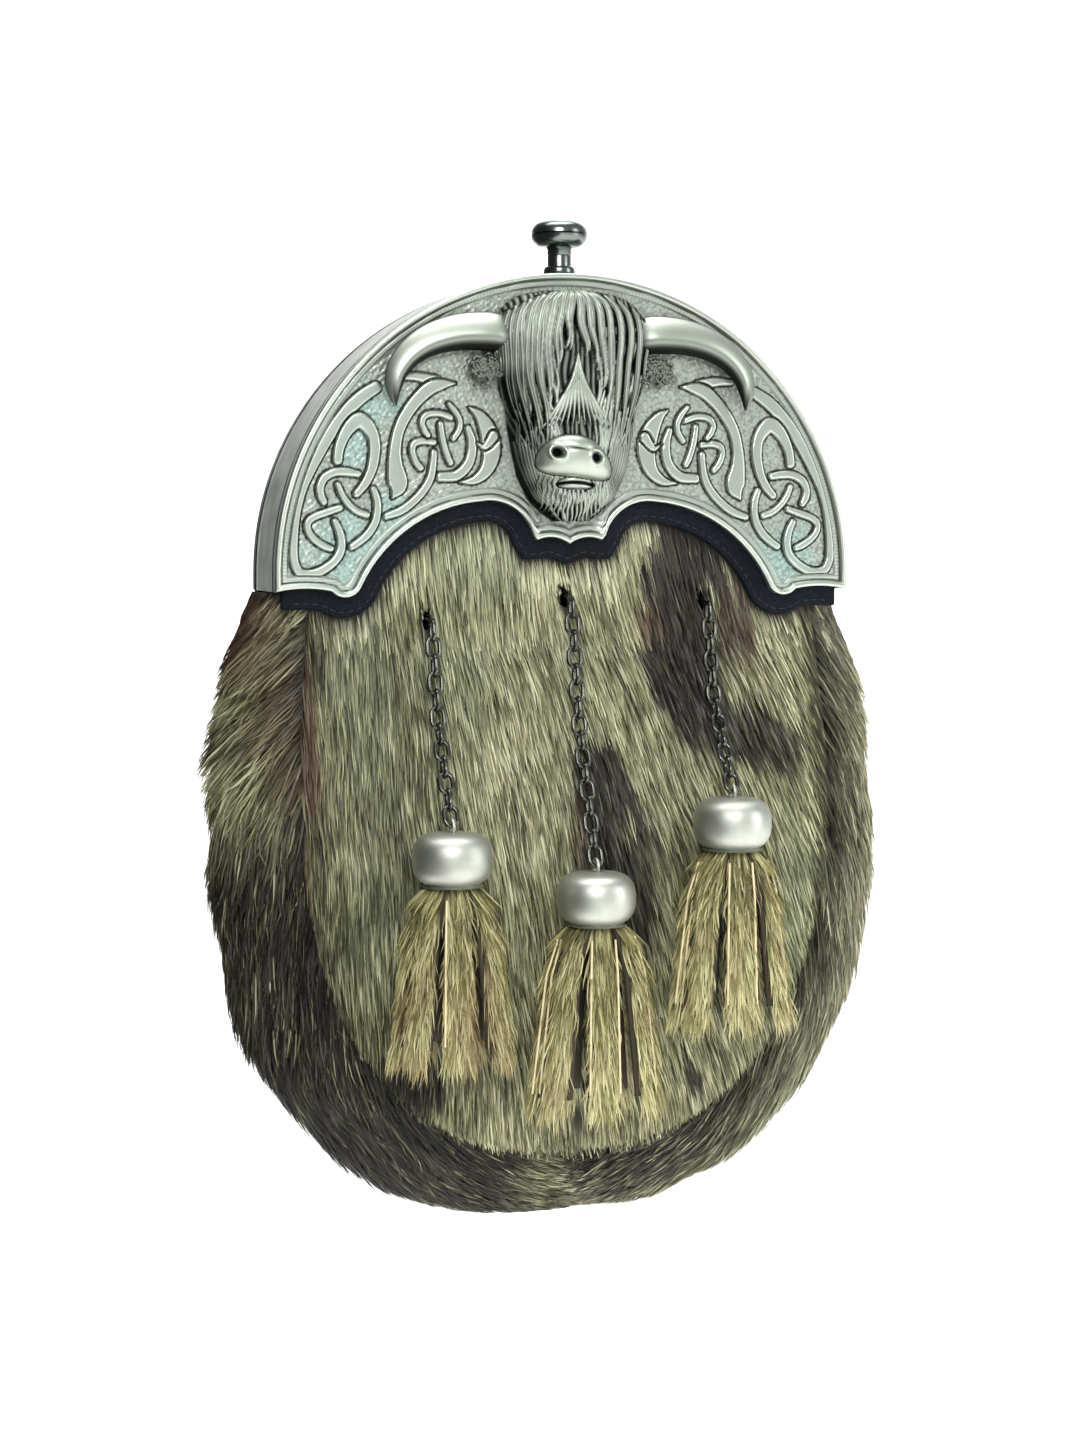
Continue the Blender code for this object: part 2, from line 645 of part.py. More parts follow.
def front_panel(finish):
    """The fur-on-hide front: hide with rows of fur locks fused to its face, and a slit for each chain."""
    hide = panel_grid()
    locks = hide.copy()
    for row in range(hide.shape[0]):
        half_width = hide[row, :, 0].max()
        x, z = hide[row, :, 0], hide[row, 0, 2]
        face = panel_y(x, z, half_width)
        stagger = (row + np.arange(len(x))) % 2
        fur = FUR_ON_PANEL * fur_ramp(x, z) * (1 - LOCK_SHARE * stagger)
        hide[row, :, 1] = face + HIDE_THICKNESS
        locks[row, :, 1] = face - fur
    panel = sheet("front_panel", locks, hide, finish)
    for word, x, slit_z, _, _, _ in TASSELS:
        near, far = x - SLIT_WIDTH / 2, x + SLIT_WIDTH / 2
        low, high = slit_z - SLIT_HEIGHT / 2, slit_z + SLIT_HEIGHT / 2
        box = [(near, low), (far, low), (far, high), (near, high)]
        combine(panel, prism("slit_" + word, box, -2 * EDGE_DEPTH, BAND_BACK_Y), "DIFFERENCE")
    return panel


def gusset_shares():
    """Shares of the half outline at the gusset's stations, right end to left end with the sign of the side."""
    right = [i / GUSSET_HALF_COLUMNS for i in range(GUSSET_HALF_COLUMNS + 1)]
    return [(share, 1) for share in right] + [(share, -1) for share in reversed(right[:-1])]


def gusset(finish):
    """The fur-on-hide wall round the sides and the bottom, bowed outwards, with fused locks."""
    across = np.linspace(0, 1, GUSSET_ROWS + 1)
    shares = gusset_shares()
    inner = np.zeros((len(across), len(shares), 3))
    for column, (share, side) in enumerate(shares):
        front_x, front_z = front_station(share)
        back_x, back_z = back_station(share)
        front_y = edge_y(front_z) + HIDE_THICKNESS
        back_x -= HIDE_THICKNESS * max(math.cos(math.pi / 2 * share), 0)
        back_z += HIDE_THICKNESS * math.sin(math.pi / 2 * share)
        apart = Vector((back_x - front_x, back_z - front_z))
        outward = apart.normalized() if apart.length > 0 else Vector((1.0, 0.0))
        bulge = GUSSET_BULGE * np.sin(math.pi * across)
        gap = SEAT_GAP * (1 - across)
        inner[:, column, 0] = side * (front_x + apart.x * across + outward.x * (bulge + gap))
        inner[:, column, 1] = front_y + (BAND_BACK_Y - front_y) * across
        inner[:, column, 2] = front_z + apart.y * across + outward.y * (bulge + gap)
    normal = np.cross(np.gradient(inner, axis=1), np.gradient(inner, axis=0))
    normal /= np.linalg.norm(normal, axis=2)[..., None]
    middle = normal[len(across) // 2, 0]
    normal *= np.sign(middle[0])
    stagger = (np.arange(len(across))[:, None] + np.arange(len(shares))) % 2
    from_top = np.array([share * 9 for share, _ in shares])
    full = 0.35 + 0.65 * np.sin(math.pi * (0.12 + 0.8 * across))
    fur = FUR_ON_GUSSET * full[:, None] * smooth(from_top) * (1 - LOCK_SHARE * stagger)
    outer = inner + normal * (HIDE_THICKNESS + fur)[..., None]
    outer[..., 1] = np.minimum(outer[..., 1], BAND_BACK_Y)
    covered = outer[..., 2] > -LEG_DROP - APRON_MARGIN - 2 * SEAT_GAP
    outer[..., 1] = np.where(covered, np.maximum(outer[..., 1], PANEL_TOP_Y), outer[..., 1])
    outer[..., 2] = np.minimum(outer[..., 2], -LEG_DROP - SEAT_GAP)
    outer[0, :, 1] = np.minimum(outer[0, :, 1], inner[0, :, 1] - HIDE_THICKNESS)
    return sheet("gusset", outer, inner, finish)


# Chains and tassels


def link(bm, centre, along, facing, inside):
    """One oval link round centre: along is its long direction and facing the direction across its plane."""
    sideways = along.cross(facing)
    straight = inside / 2 + WIRE_RADIUS - LINK_HALF_WIDTH
    rings = []
    for end in (1, -1):
        for i in range(LINK_END_STEPS + 1):
            turn = math.pi * i / LINK_END_STEPS
            out = sideways * (math.cos(turn) * end) + along * (math.sin(turn) * end)
            middle = centre + along * (straight * end) + out * LINK_HALF_WIDTH
            ring = []
            for k in range(WIRE_SIDES):
                spin = math.tau * k / WIRE_SIDES
                ring.append(middle - (out * math.cos(spin) + facing * math.sin(spin)) * WIRE_RADIUS)
            rings.append(ring)
    loops = [[bm.verts.new(point) for point in ring] for ring in rings]
    for first, second in zip(loops, loops[1:] + loops[:1]):
        for i in range(WIRE_SIDES):
            bm.faces.new((first[i - 1], first[i], second[i], second[i - 1]))


def cap_y(x, z):
    """Depth of a tassel's middle, where its cap lies against the fur."""
    face = float(panel_y(np.array([x]), z, half_width_at(z))[0])
    return face - FUR_ON_PANEL - SEAT_GAP - CAP_RADIUS


def eye_middle(x, cap_z):
    """The middle of the eye on top of a cap."""
    return Vector((x, cap_y(x, cap_z), cap_z + CAP_HEIGHT / 2 + EYE_RADIUS - WIRE_RADIUS))


def chain_route(x, slit_z, cap_z):
    """The toggle's middle behind the hide, and the chain's line from its slit, over the fur, to the cap's eye."""
    hide = float(panel_y(np.array([x]), slit_z, half_width_at(slit_z))[0])
    toggle = Vector((x, hide + HIDE_THICKNESS + SEAT_GAP + TOGGLE_RADIUS, slit_z))
    clear = SEAT_GAP + LINK_HALF_WIDTH + WIRE_RADIUS
    lip_z = slit_z - SLIT_HEIGHT / 2 + LINK_HALF_WIDTH + WIRE_RADIUS + 2 * SEAT_GAP
    lip = Vector((x, hide - 1.15 * FUR_ON_PANEL - clear, lip_z))
    hook = eye_middle(x, cap_z) + Vector((0.0, 0.0, EYE_RADIUS - 2 * WIRE_RADIUS - SEAT_GAP))
    middle_z = (lip_z + hook.z) / 2
    middle_hide = float(panel_y(np.array([x]), middle_z, half_width_at(middle_z))[0])
    middle = Vector((x, middle_hide - FUR_ON_PANEL - clear, middle_z))
    return toggle, np.array([lip, middle, hook])


def equal_steps(route, count):
    """Points on a route that lie the same straight distance apart, both its ends among them."""
    lengths = np.concatenate([[0.0], np.cumsum(np.linalg.norm(np.diff(route, axis=0), axis=1))])
    at = np.linspace(0.0, lengths[-1], count + 1)
    for _ in range(40):
        points = np.stack([np.interp(at, lengths, route[:, axis]) for axis in range(3)], axis=1)
        walked = np.concatenate([[0.0], np.cumsum(np.linalg.norm(np.diff(points, axis=0), axis=1))])
        at = np.interp(np.linspace(0.0, walked[-1], count + 1), walked, at)
    return [Vector(point) for point in points]


def toggle_bar(word, middle, shank_end):
    """The bar that holds a chain behind the hide, with its shank out through the slit."""
    bm = bmesh.new()
    turns = [math.tau * k / TOGGLE_SIDES for k in range(TOGGLE_SIDES)]
    rings = []
    for end in (-TOGGLE_LENGTH / 2, TOGGLE_LENGTH / 2):
        ring = [Vector((end, TOGGLE_RADIUS * math.cos(t), TOGGLE_RADIUS * math.sin(t))) for t in turns]
        rings.append([middle + place for place in ring])
    skin(bm, rings)
    rings = []
    for end in (middle, shank_end):
        ring = [Vector((SHANK_RADIUS * math.cos(t), 0.0, SHANK_RADIUS * math.sin(t))) for t in turns]
        rings.append([end + place for place in ring])
    skin(bm, rings)
    return object_from(closed(bm), "toggle_" + word, None)


def chain(word, x, slit_z, cap_z, finish):
    """A chain fused into one body, with the toggle that holds it behind the hide."""
    toggle, route = chain_route(x, slit_z, cap_z)
    total = float(np.linalg.norm(np.diff(route, axis=0), axis=1).sum())
    count = round(total / (LINK_INSIDE + LINK_BITE))
    points = equal_steps(route, count)
    bm = bmesh.new()
    for i, (start, end) in enumerate(zip(points, points[1:])):
        along = (end - start).normalized()
        normal = along.cross(Vector((1.0, 0.0, 0.0))).normalized()
        facing = along.cross(normal) if (count - i) % 2 == 0 else normal
        link(bm, (start + end) / 2, along, facing, (end - start).length - LINK_BITE)
    made = object_from(closed(bm), "chain_" + word, finish)
    combine(made, toggle_bar(word, toggle, points[0]), "UNION", self_overlap=True)
    return made


def tassel_cap(word, x, cap_z, finish):
    """A hollow turned cap, open below, with an eye on top for the chain."""
    centre = (x, cap_y(x, cap_z), cap_z)
    outside = [(CAP_RADIUS * out, CAP_HEIGHT * up) for out, up in CAP_PROFILE]
    mouth = [(CAP_MOUTH, -CAP_HEIGHT / 2)]
    inner_radius = CAP_RADIUS - CAP_WALL
    inside = [(inner_radius * out, (CAP_HEIGHT - 2 * CAP_WALL) * up) for out, up in reversed(CAP_PROFILE[1:-1])]
    top = [(0.0, CAP_HEIGHT / 2 - CAP_WALL), (0.0, CAP_HEIGHT / 2)]
    profile = top + outside + mouth + [(CAP_MOUTH - CAP_WALL, -CAP_HEIGHT / 2 + CAP_WALL)] + inside
    cap = lathe("tassel_cap_" + word, profile, centre, CAP_SIDES, finish)
    bm = bmesh.new()
    middle = eye_middle(x, cap_z)
    loops = []
    for i in range(EYE_STEPS):
        turn = math.tau * i / EYE_STEPS
        out = Vector((0.0, math.cos(turn), math.sin(turn)))
        ring = []
        for k in range(WIRE_SIDES):
            spin = math.tau * k / WIRE_SIDES
            wire = out * math.cos(spin) + Vector((math.sin(spin), 0.0, 0.0))
            ring.append(bm.verts.new(middle + out * EYE_RADIUS + wire * WIRE_RADIUS))
        loops.append(ring)
    for first, second in zip(loops, loops[1:] + loops[:1]):
        for k in range(WIRE_SIDES):
            bm.faces.new((first[k - 1], first[k], second[k], second[k - 1]))
    combine(cap, object_from(closed(bm), "eye_" + word, None), "UNION")
    return cap


def tassel_strip(bm, centre, angle, hair, half_width):
    """One hanging strip of fur-on-hide at an angle round the tassel."""
    out = np.array([math.cos(angle), math.sin(angle)])
    tangent = np.array([-math.sin(angle), math.cos(angle)])
    rings = []
    for down, spread, depth in TASSEL_ROWS:
        middle = np.array([out[0] * half_width * spread, out[1] * TASSEL_HALF_DEPTH * depth])
        middle *= 1 - 0.5 * TASSEL_STRIP_THICKNESS / np.linalg.norm(middle)
        half = 0.5 * TASSEL_STRIP_WIDTH * (0.55 + 0.5 * spread)
        thick = 0.5 * TASSEL_STRIP_THICKNESS * (1.0 if down < 1 else 0.35)
        z = centre[2] - CAP_HEIGHT / 2 + CAP_WALL - (hair + CAP_WALL) * down
        ring = []
        for across, through in ((-1, 0), (0, 1), (1, 0), (0, -1)):
            at = middle + tangent * half * across + out * thick * through
            ring.append((centre[0] + at[0], centre[1] + at[1], z))
        rings.append(ring)
    skin(bm, rings)


def tassel(word, x, cap_z, hair, half_width, finish):
    """A fur tassel: strips fused to a round head that sits in the cap."""
    centre = (x, cap_y(x, cap_z), cap_z)
    head_radius = CAP_MOUTH - CAP_WALL - SEAT_GAP
    top = CAP_HEIGHT / 4
    low = -CAP_HEIGHT / 2 - 0.3 * hair
    profile = [(0.0, low), (0.75 * head_radius, low), (head_radius, -CAP_HEIGHT / 2), (head_radius, top)]
    profile.append((0.0, top))
    made = lathe("tassel_" + word, profile, centre, TASSEL_HEAD_SIDES, finish)
    bm = bmesh.new()
    for i in range(TASSEL_STRIPS):
        tassel_strip(bm, centre, math.tau * (i + 0.25) / TASSEL_STRIPS, hair, half_width)
    combine(made, object_from(closed(bm), "strips_" + word, None), "UNION", self_overlap=True)
    return made


def main():
    """Clears the scene and builds every piece."""
    for old in list(bpy.data.objects):
        bpy.data.objects.remove(old)
    pewter = material("antique_pewter", (0.56, 0.58, 0.55), 0.38, 1.0)
    dark_pewter = material("dark_pewter", (0.30, 0.31, 0.29), 0.42, 1.0)
    gunmetal = material("gunmetal", (0.10, 0.11, 0.11), 0.45, 1.0)
    navy_leather = material("navy_leather", (0.018, 0.020, 0.034), 0.55, 0.0)
    back_leather = material("back_leather", (0.022, 0.021, 0.022), 0.50, 0.0)
    coat_fur = material("coat_fur", (0.30, 0.32, 0.22), 0.85, 0.0)
    tassel_fur = material("tassel_fur", (0.45, 0.42, 0.27), 0.85, 0.0)

    cantle_plate(pewter)
    cow_head(dark_pewter)
    cantle_band(pewter)
    knob_collar(dark_pewter)
    clasp_knob(dark_pewter)
    back_arch(pewter)
    leather_apron(navy_leather)
    back_panel(back_leather)
    keeper("strap_loop_left", -KEEPER_SPACING / 2, back_leather)
    keeper("strap_loop_right", KEEPER_SPACING / 2, back_leather)
    front_panel(coat_fur)
    gusset(coat_fur)
    for word, x, slit_z, cap_z, hair, half_width in TASSELS:
        chain(word, x, slit_z, cap_z, gunmetal)
        tassel_cap(word, x, cap_z, pewter)
        tassel(word, x, cap_z, hair, half_width, tassel_fur)


main()
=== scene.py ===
"""Dress sporran: the finished look of the pouch, its cast cantle, press knob, chains and fur tassels.

Lengths are metres in the frame's own axes: +Z up, +X to the right as seen from the front, front facing -Y.
The cantle's half circle is centred on the origin.
"""

from __future__ import annotations

import logging
import math
from collections.abc import Callable
from dataclasses import dataclass
from enum import Enum

import bmesh
import bpy
import numpy as np
from bmesh.types import BMEdge, BMesh, BMFace, BMVert
from mathutils import Matrix, Vector
from numpy.random import Generator


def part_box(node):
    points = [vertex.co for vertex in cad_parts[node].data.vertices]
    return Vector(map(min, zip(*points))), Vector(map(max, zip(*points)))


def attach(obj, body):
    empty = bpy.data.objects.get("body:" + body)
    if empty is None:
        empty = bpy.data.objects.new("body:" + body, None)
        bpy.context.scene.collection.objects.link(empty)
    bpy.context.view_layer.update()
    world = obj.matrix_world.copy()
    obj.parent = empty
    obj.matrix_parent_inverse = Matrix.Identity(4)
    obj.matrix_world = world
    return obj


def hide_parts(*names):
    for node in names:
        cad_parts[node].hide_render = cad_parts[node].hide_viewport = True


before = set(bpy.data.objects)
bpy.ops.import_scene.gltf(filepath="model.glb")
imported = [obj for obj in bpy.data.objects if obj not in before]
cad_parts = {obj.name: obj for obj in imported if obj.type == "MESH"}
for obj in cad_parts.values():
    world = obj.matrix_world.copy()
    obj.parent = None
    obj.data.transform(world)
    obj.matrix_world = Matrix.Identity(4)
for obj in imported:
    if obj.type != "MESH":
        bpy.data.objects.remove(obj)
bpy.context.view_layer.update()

LOG = logging.getLogger("sporran")
MM = 0.001
Points = np.ndarray
Material, Piece, Socket = bpy.types.Material, bpy.types.Object, bpy.types.NodeSocket
BLADE_POINTS = 7  # vertices of one hair
ARC_STEPS = 96  # segments of the half circle of a leather
KEEPERS = ("strap_loop_left", "strap_loop_right")


class Side(Enum):
    """The two sides of the pouch as seen from the front."""

    LEFT = -1
    RIGHT = 1


class Body(Enum):
    """The rigid bodies of the frame."""

    POUCH = "pouch"
    KNOB = "knob"


# Small helpers for numbers


def smooth(share: Points | float) -> Points | float:
    """A soft ramp from 0 to 1."""
    share = np.clip(share, 0.0, 1.0)
    return share * share * (3 - 2 * share)


def unit(vectors: Points) -> Points:
    """Vectors scaled to length one."""
    return vectors / np.maximum(np.linalg.norm(vectors, axis=-1, keepdims=True), 1e-12)


def value_noise(places: Points, cell: float, seed: int) -> Points:
    """Smooth noise between -1 and 1 over points of two or three coordinates.

    Args:
        places: Points, one row each.
        cell: Size of one bump in the points' own units.
        seed: Picks another field.

    Returns:
        One value for each point.
    """
    rng = np.random.default_rng(seed)
    waves = 9
    ways = rng.normal(size=(waves, places.shape[1]))
    ways = unit(ways) * rng.uniform(0.6, 1.5, size=(waves, 1)) * math.tau / (2.6 * cell)
    total = np.zeros(len(places))
    for way, phase in zip(ways, rng.uniform(0, math.tau, waves)):
        total += np.sin(places @ way + phase)
    return np.clip(total / math.sqrt(waves) / 1.4, -1, 1)


def spline(rows: Points, steps: int) -> Points:
    """A smooth curve through rows of values, with the given number of steps between neighbours."""
    rows = np.asarray(rows, float)
    padded = np.vstack([2 * rows[0] - rows[1], rows, 2 * rows[-1] - rows[-2]])
    made = []
    for before, start, end, after in zip(padded, padded[1:], padded[2:], padded[3:]):
        for i in range(steps):
            t = i / steps
            made.append(
                0.5
                * (
                    2 * start
                    + (end - before) * t
                    + (2 * before - 5 * start + 4 * end - after) * t * t
                    + (3 * start - before - 3 * end + after) * t**3
                )
            )
    made.append(rows[-1])
    return np.array(made)


def near_line(places: Points, line: Points) -> tuple[Points, Points, Points]:
    """How points lie to an open line in the plane.

    Args:
        places: Points of two coordinates.
        line: The line's own points.

    Returns:
        Distance, the same with the sign of the side, and the place along the line in steps.
    """
    best = np.full(len(places), np.inf)
    side = np.zeros(len(places))
    along = np.zeros(len(places))
    for i, (start, end) in enumerate(zip(line, line[1:])):
        step = end - start
        share = np.clip((places - start) @ step / max(step @ step, 1e-18), 0, 1)
        off = places - (start + share[:, None] * step)
        far = np.hypot(off[:, 0], off[:, 1])
        nearer = far < best
        best[nearer] = far[nearer]
        side[nearer] = (step[0] * off[:, 1] - step[1] * off[:, 0])[nearer]
        along[nearer] = i + share[nearer]
    return best, best * np.sign(side), along


def walk_lengths(line: Points) -> Points:
    """Length walked along a line up to each of its points."""
    return np.concatenate([[0.0], np.cumsum(np.linalg.norm(np.diff(line, axis=0), axis=1))])


def half_round(radius: float) -> list[tuple[float, float]]:
    """The upper half of a circle as (x, z) points, from left to right."""
    turns = [math.pi * i / ARC_STEPS for i in range(ARC_STEPS + 1)]
    return [(-radius * math.cos(turn), radius * math.sin(turn)) for turn in turns]


# Small helpers for meshes


def new_object(name: str, mesh: bpy.types.Mesh, finish: Material | None) -> Piece:
    """Puts a mesh into the scene at the origin with one material."""
    made = bpy.data.objects.new(name, mesh)
    bpy.context.scene.collection.objects.link(made)
    if finish:
        mesh.materials.append(finish)
    return made


def from_bmesh(bm: BMesh, name: str, finish: Material | None, sharp: float = 40) -> Piece:
    """Turns a finished bmesh into an object, smooth up to edges sharper than an angle.

    Args:
        bm: The shape, which is freed.
        name: The piece's name.
        finish: Its material.
        sharp: Angle in degrees above which an edge stays sharp.

    Returns:
        The object.
    """
    mesh = bpy.data.meshes.new(name)
    bm.to_mesh(mesh)
    bm.free()
    mesh.shade_smooth()
    mesh.set_sharp_from_angle(angle=math.radians(sharp))
    return new_object(name, mesh, finish)


def outward(bm: BMesh) -> None:
    """Merges doubled vertices and turns the faces of a closed shape outwards."""
    bmesh.ops.remove_doubles(bm, verts=bm.verts[:], dist=1e-6)
    bmesh.ops.recalc_face_normals(bm, faces=bm.faces[:])


def soften(bm: BMesh, width: float, angle: float = 30, segments: int = 2) -> None:
    """Bevels the edges that turn by more than an angle in degrees."""
    edges = [edge for edge in bm.edges if edge.is_manifold and edge.calc_face_angle(0) > math.radians(angle)]
    settings = {"offset_type": "OFFSET", "profile": 0.5, "affect": "EDGES", "material": -1, "clamp_overlap": True}
    bmesh.ops.bevel(bm, geom=edges, offset=width, segments=segments, **settings)


def turned(profile: list[tuple[float, float]], centre: Vector, steps: int = 64) -> BMesh:
    """A closed body turned round a vertical axis.

    Args:
        profile: Its section as (radius, height) points, whose ends lie on the axis or meet.
        centre: The point from which they are measured.
        steps: Segments round the axis.

    Returns:
        The bmesh.
    """
    bm = bmesh.new()
    points = [bm.verts.new(centre + Vector((radius, 0.0, height))) for radius, height in profile]
    geom = points + [bm.edges.new(pair) for pair in zip(points, points[1:])]
    bmesh.ops.spin(bm, geom=geom, cent=centre, axis=(0, 0, 1), angle=math.tau, steps=steps, use_merge=True)
    outward(bm)
    return bm


def draw_out(bm: BMesh, grown: list, way: tuple[float, float, float]) -> None:
    """Moves the vertices among freshly extruded parts."""
    moved = [part for part in grown if isinstance(part, BMVert)]
    bmesh.ops.translate(bm, verts=moved, vec=way)


def slab(corners: list[tuple[float, float, float]], way: tuple[float, float, float]) -> BMesh:
    """A closed slab: a flat face drawn out along a way."""
    bm = bmesh.new()
    face = bm.faces.new([bm.verts.new(corner) for corner in corners])
    draw_out(bm, bmesh.ops.extrude_face_region(bm, geom=[face])["geom"], way)
    outward(bm)
    return bm


def plate_between(outline: list[tuple[float, float]], near: float, far: float) -> BMesh:
    """A plate with an outline of (x, z) points between two depths."""
    return slab([(x, near, z) for x, z in outline], (0.0, far - near, 0.0))


def thicken(bm: BMesh, rank: Callable[[BMFace], float], way: Vector, thickness: float) -> None:
    """Turns the faces of an open sheet outwards and gives it a wall behind them.

    Args:
        bm: The sheet.
        rank: The face for which this is least is the one whose way out is known.
        way: The way out of that face.
        thickness: Thickness of the wall.
    """
    bmesh.ops.recalc_face_normals(bm, faces=bm.faces[:])
    if min(bm.faces, key=rank).normal.dot(way) < 0:
        bmesh.ops.reverse_faces(bm, faces=bm.faces[:])
    bmesh.ops.solidify(bm, geom=bm.faces[:], thickness=thickness)


def grid_mesh(columns: int, rows: int) -> tuple[BMesh, Points, Points]:
    """A grid whose vertices carry shares from 0 to 1 across and up.

    Args:
        columns: Segments across.
        rows: Segments up.

    Returns:
        The bmesh, and each vertex's share across and share up.
    """
    bm = bmesh.new()
    bmesh.ops.create_grid(bm, x_segments=columns, y_segments=rows, size=0.5)
    flat = np.array([vert.co[:2] for vert in bm.verts])
    return bm, flat[:, 0] + 0.5, flat[:, 1] + 0.5


def place_vertices(bm: BMesh, places: Points) -> None:
    """Moves each vertex of a bmesh to its row of places."""
    for vert, place in zip(bm.verts, places):
        vert.co = place


def close_behind(bm: BMesh, depth: float) -> None:
    """Closes an open relief with walls back to a flat rear face at a depth."""
    rim = [edge for edge in bm.edges if edge.is_boundary]
    grown = bmesh.ops.extrude_edge_only(bm, edges=rim)["geom"]
    for part in grown:
        if isinstance(part, BMVert):
            part.co.y = depth
    bmesh.ops.edgeloop_fill(bm, edges=[part for part in grown if isinstance(part, BMEdge)])
    bmesh.ops.recalc_face_normals(bm, faces=bm.faces[:])


def vertex_places(piece: Piece) -> Points:
    """Where a piece's vertices are, one row each."""
    return np.array([vert.co for vert in piece.data.vertices])


def tube_faces(rings: int, sides: int, closed: bool = False) -> Points:
    """Faces of four corners between neighbouring rings of points.

    Args:
        rings: Number of rings.
        sides: Points of each ring.
        closed: Whether the last ring joins the first.

    Returns:
        One row of point numbers for each face.
    """
    k = np.arange(sides)
    quads = []
    for i in range(rings if closed else rings - 1):
        low, high = i * sides, (i + 1) % rings * sides
        quads.append(np.stack([low + k, low + (k + 1) % sides, high + (k + 1) % sides, high + k], 1))
    return np.vstack(quads)


def set_values(mesh: bpy.types.Mesh, name: str, values: Points) -> None:
    """Stores one number for each vertex, with zero for vertices past the given ones."""
    layer = mesh.attributes.new(name, "FLOAT", "POINT")
    full = np.zeros(len(mesh.vertices), np.float32)
    full[: len(values)] = values
    layer.data.foreach_set("value", full)


class JoinedMesh:
    """Many small bodies gathered as arrays and made into one mesh."""

    def __init__(self) -> None:
        """Starts empty."""
        self.points: list[Points] = []
        self.corners: list[Points] = []
        self.sizes: list[Points] = []
        self.count = 0

    def add(self, points: Points, faces: list[Points]) -> None:
        """Adds a body.

        Args:
            points: Its points.
            faces: Arrays of faces, each with its own number of corners.
        """
        for group in faces:
            self.corners.append((group + self.count).ravel())
            self.sizes.append(np.full(len(group), group.shape[1]))
        self.points.append(points)
        self.count += len(points)

    def add_tube(self, line: Points, radii: Points, sides: int, ring: bool = False) -> None:
        """Adds a round tube along a line.

        Args:
            line: Points of its middle.
            radii: Its radius at each of them.
            sides: Sides of its section.
            ring: Whether it closes on itself. An open tube comes to a point at each end.
        """
        ahead = np.roll(line, -1, 0) - np.roll(line, 1, 0) if ring else np.gradient(line, axis=0)
        ahead = unit(ahead)
        spread = np.ptp(line, axis=0)
        guide = np.eye(3)[int(np.argmin(spread))]
        first = unit(np.cross(ahead, guide))
        second = np.cross(ahead, first)
        turn = np.arange(sides) / sides * math.tau
        rim = first[:, None] * np.cos(turn)[:, None] + second[:, None] * np.sin(turn)[:, None]
        points = (line[:, None] + rim * np.asarray(radii)[:, None, None]).reshape(-1, 3)
        faces = [tube_faces(len(line), sides, ring)]
        if not ring:
            k = np.arange(sides)
            ends = np.stack([line[0] - ahead[0] * radii[0], line[-1] + ahead[-1] * radii[-1]])
            base, last = len(points), (len(line) - 1) * sides
            points = np.vstack([points, ends])
            faces.append(np.stack([k * 0 + base, (k + 1) % sides, k], 1))
            faces.append(np.stack([k * 0 + base + 1, last + k, last + (k + 1) % sides], 1))
        self.add(points, faces)

    def mesh(self, name: str) -> bpy.types.Mesh:
        """The finished mesh, shaded smooth."""
        made = bpy.data.meshes.new(name)
        points = np.vstack(self.points).astype(np.float32)
        corners = np.concatenate(self.corners).astype(np.int32)
        sizes = np.concatenate(self.sizes).astype(np.int32)
        made.vertices.add(len(points))
        made.vertices.foreach_set("co", points.ravel())
        made.loops.add(len(corners))
        made.loops.foreach_set("vertex_index", corners)
        made.polygons.add(len(sizes))
        starts = np.concatenate([[0], np.cumsum(sizes)[:-1]]).astype(np.int32)
        made.polygons.foreach_set("loop_start", starts)
        made.update(calc_edges=True)
        made.shade_smooth()
        return made

    def piece(self, name: str, finish: Material) -> Piece:
        """The gathered bodies as one object."""
        return new_object(name, self.mesh(name), finish)


def finish_piece(piece: Piece, body: Body = Body.POUCH, replaced: tuple[str, ...] = ()) -> None:
    """Hands a piece to the frame and reports it.

    Args:
        piece: The finished object.
        body: The body that it rides on.
        replaced: Nodes that it stands for.
    """
    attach(piece, body.value)
    if replaced:
        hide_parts(*replaced)
    triangles = sum(len(face.vertices) - 2 for face in piece.data.polygons)
    LOG.info("%s: %d triangles, rides on %s", piece.name, triangles, body.value)


# Small helpers for materials


def linear(colour: str) -> tuple[float, float, float, float]:
    """The linear value of an sRGB hex colour."""
    parts = [int(colour[i : i + 2], 16) / 255 for i in (1, 3, 5)]
    return (*(p / 12.92 if p <= 0.04045 else ((p + 0.055) / 1.055) ** 2.4 for p in parts), 1.0)


def per_metre(size_mm: float) -> float:
    """The scale of a pattern whose features are this many millimetres across."""
    return 1 / (size_mm * MM)


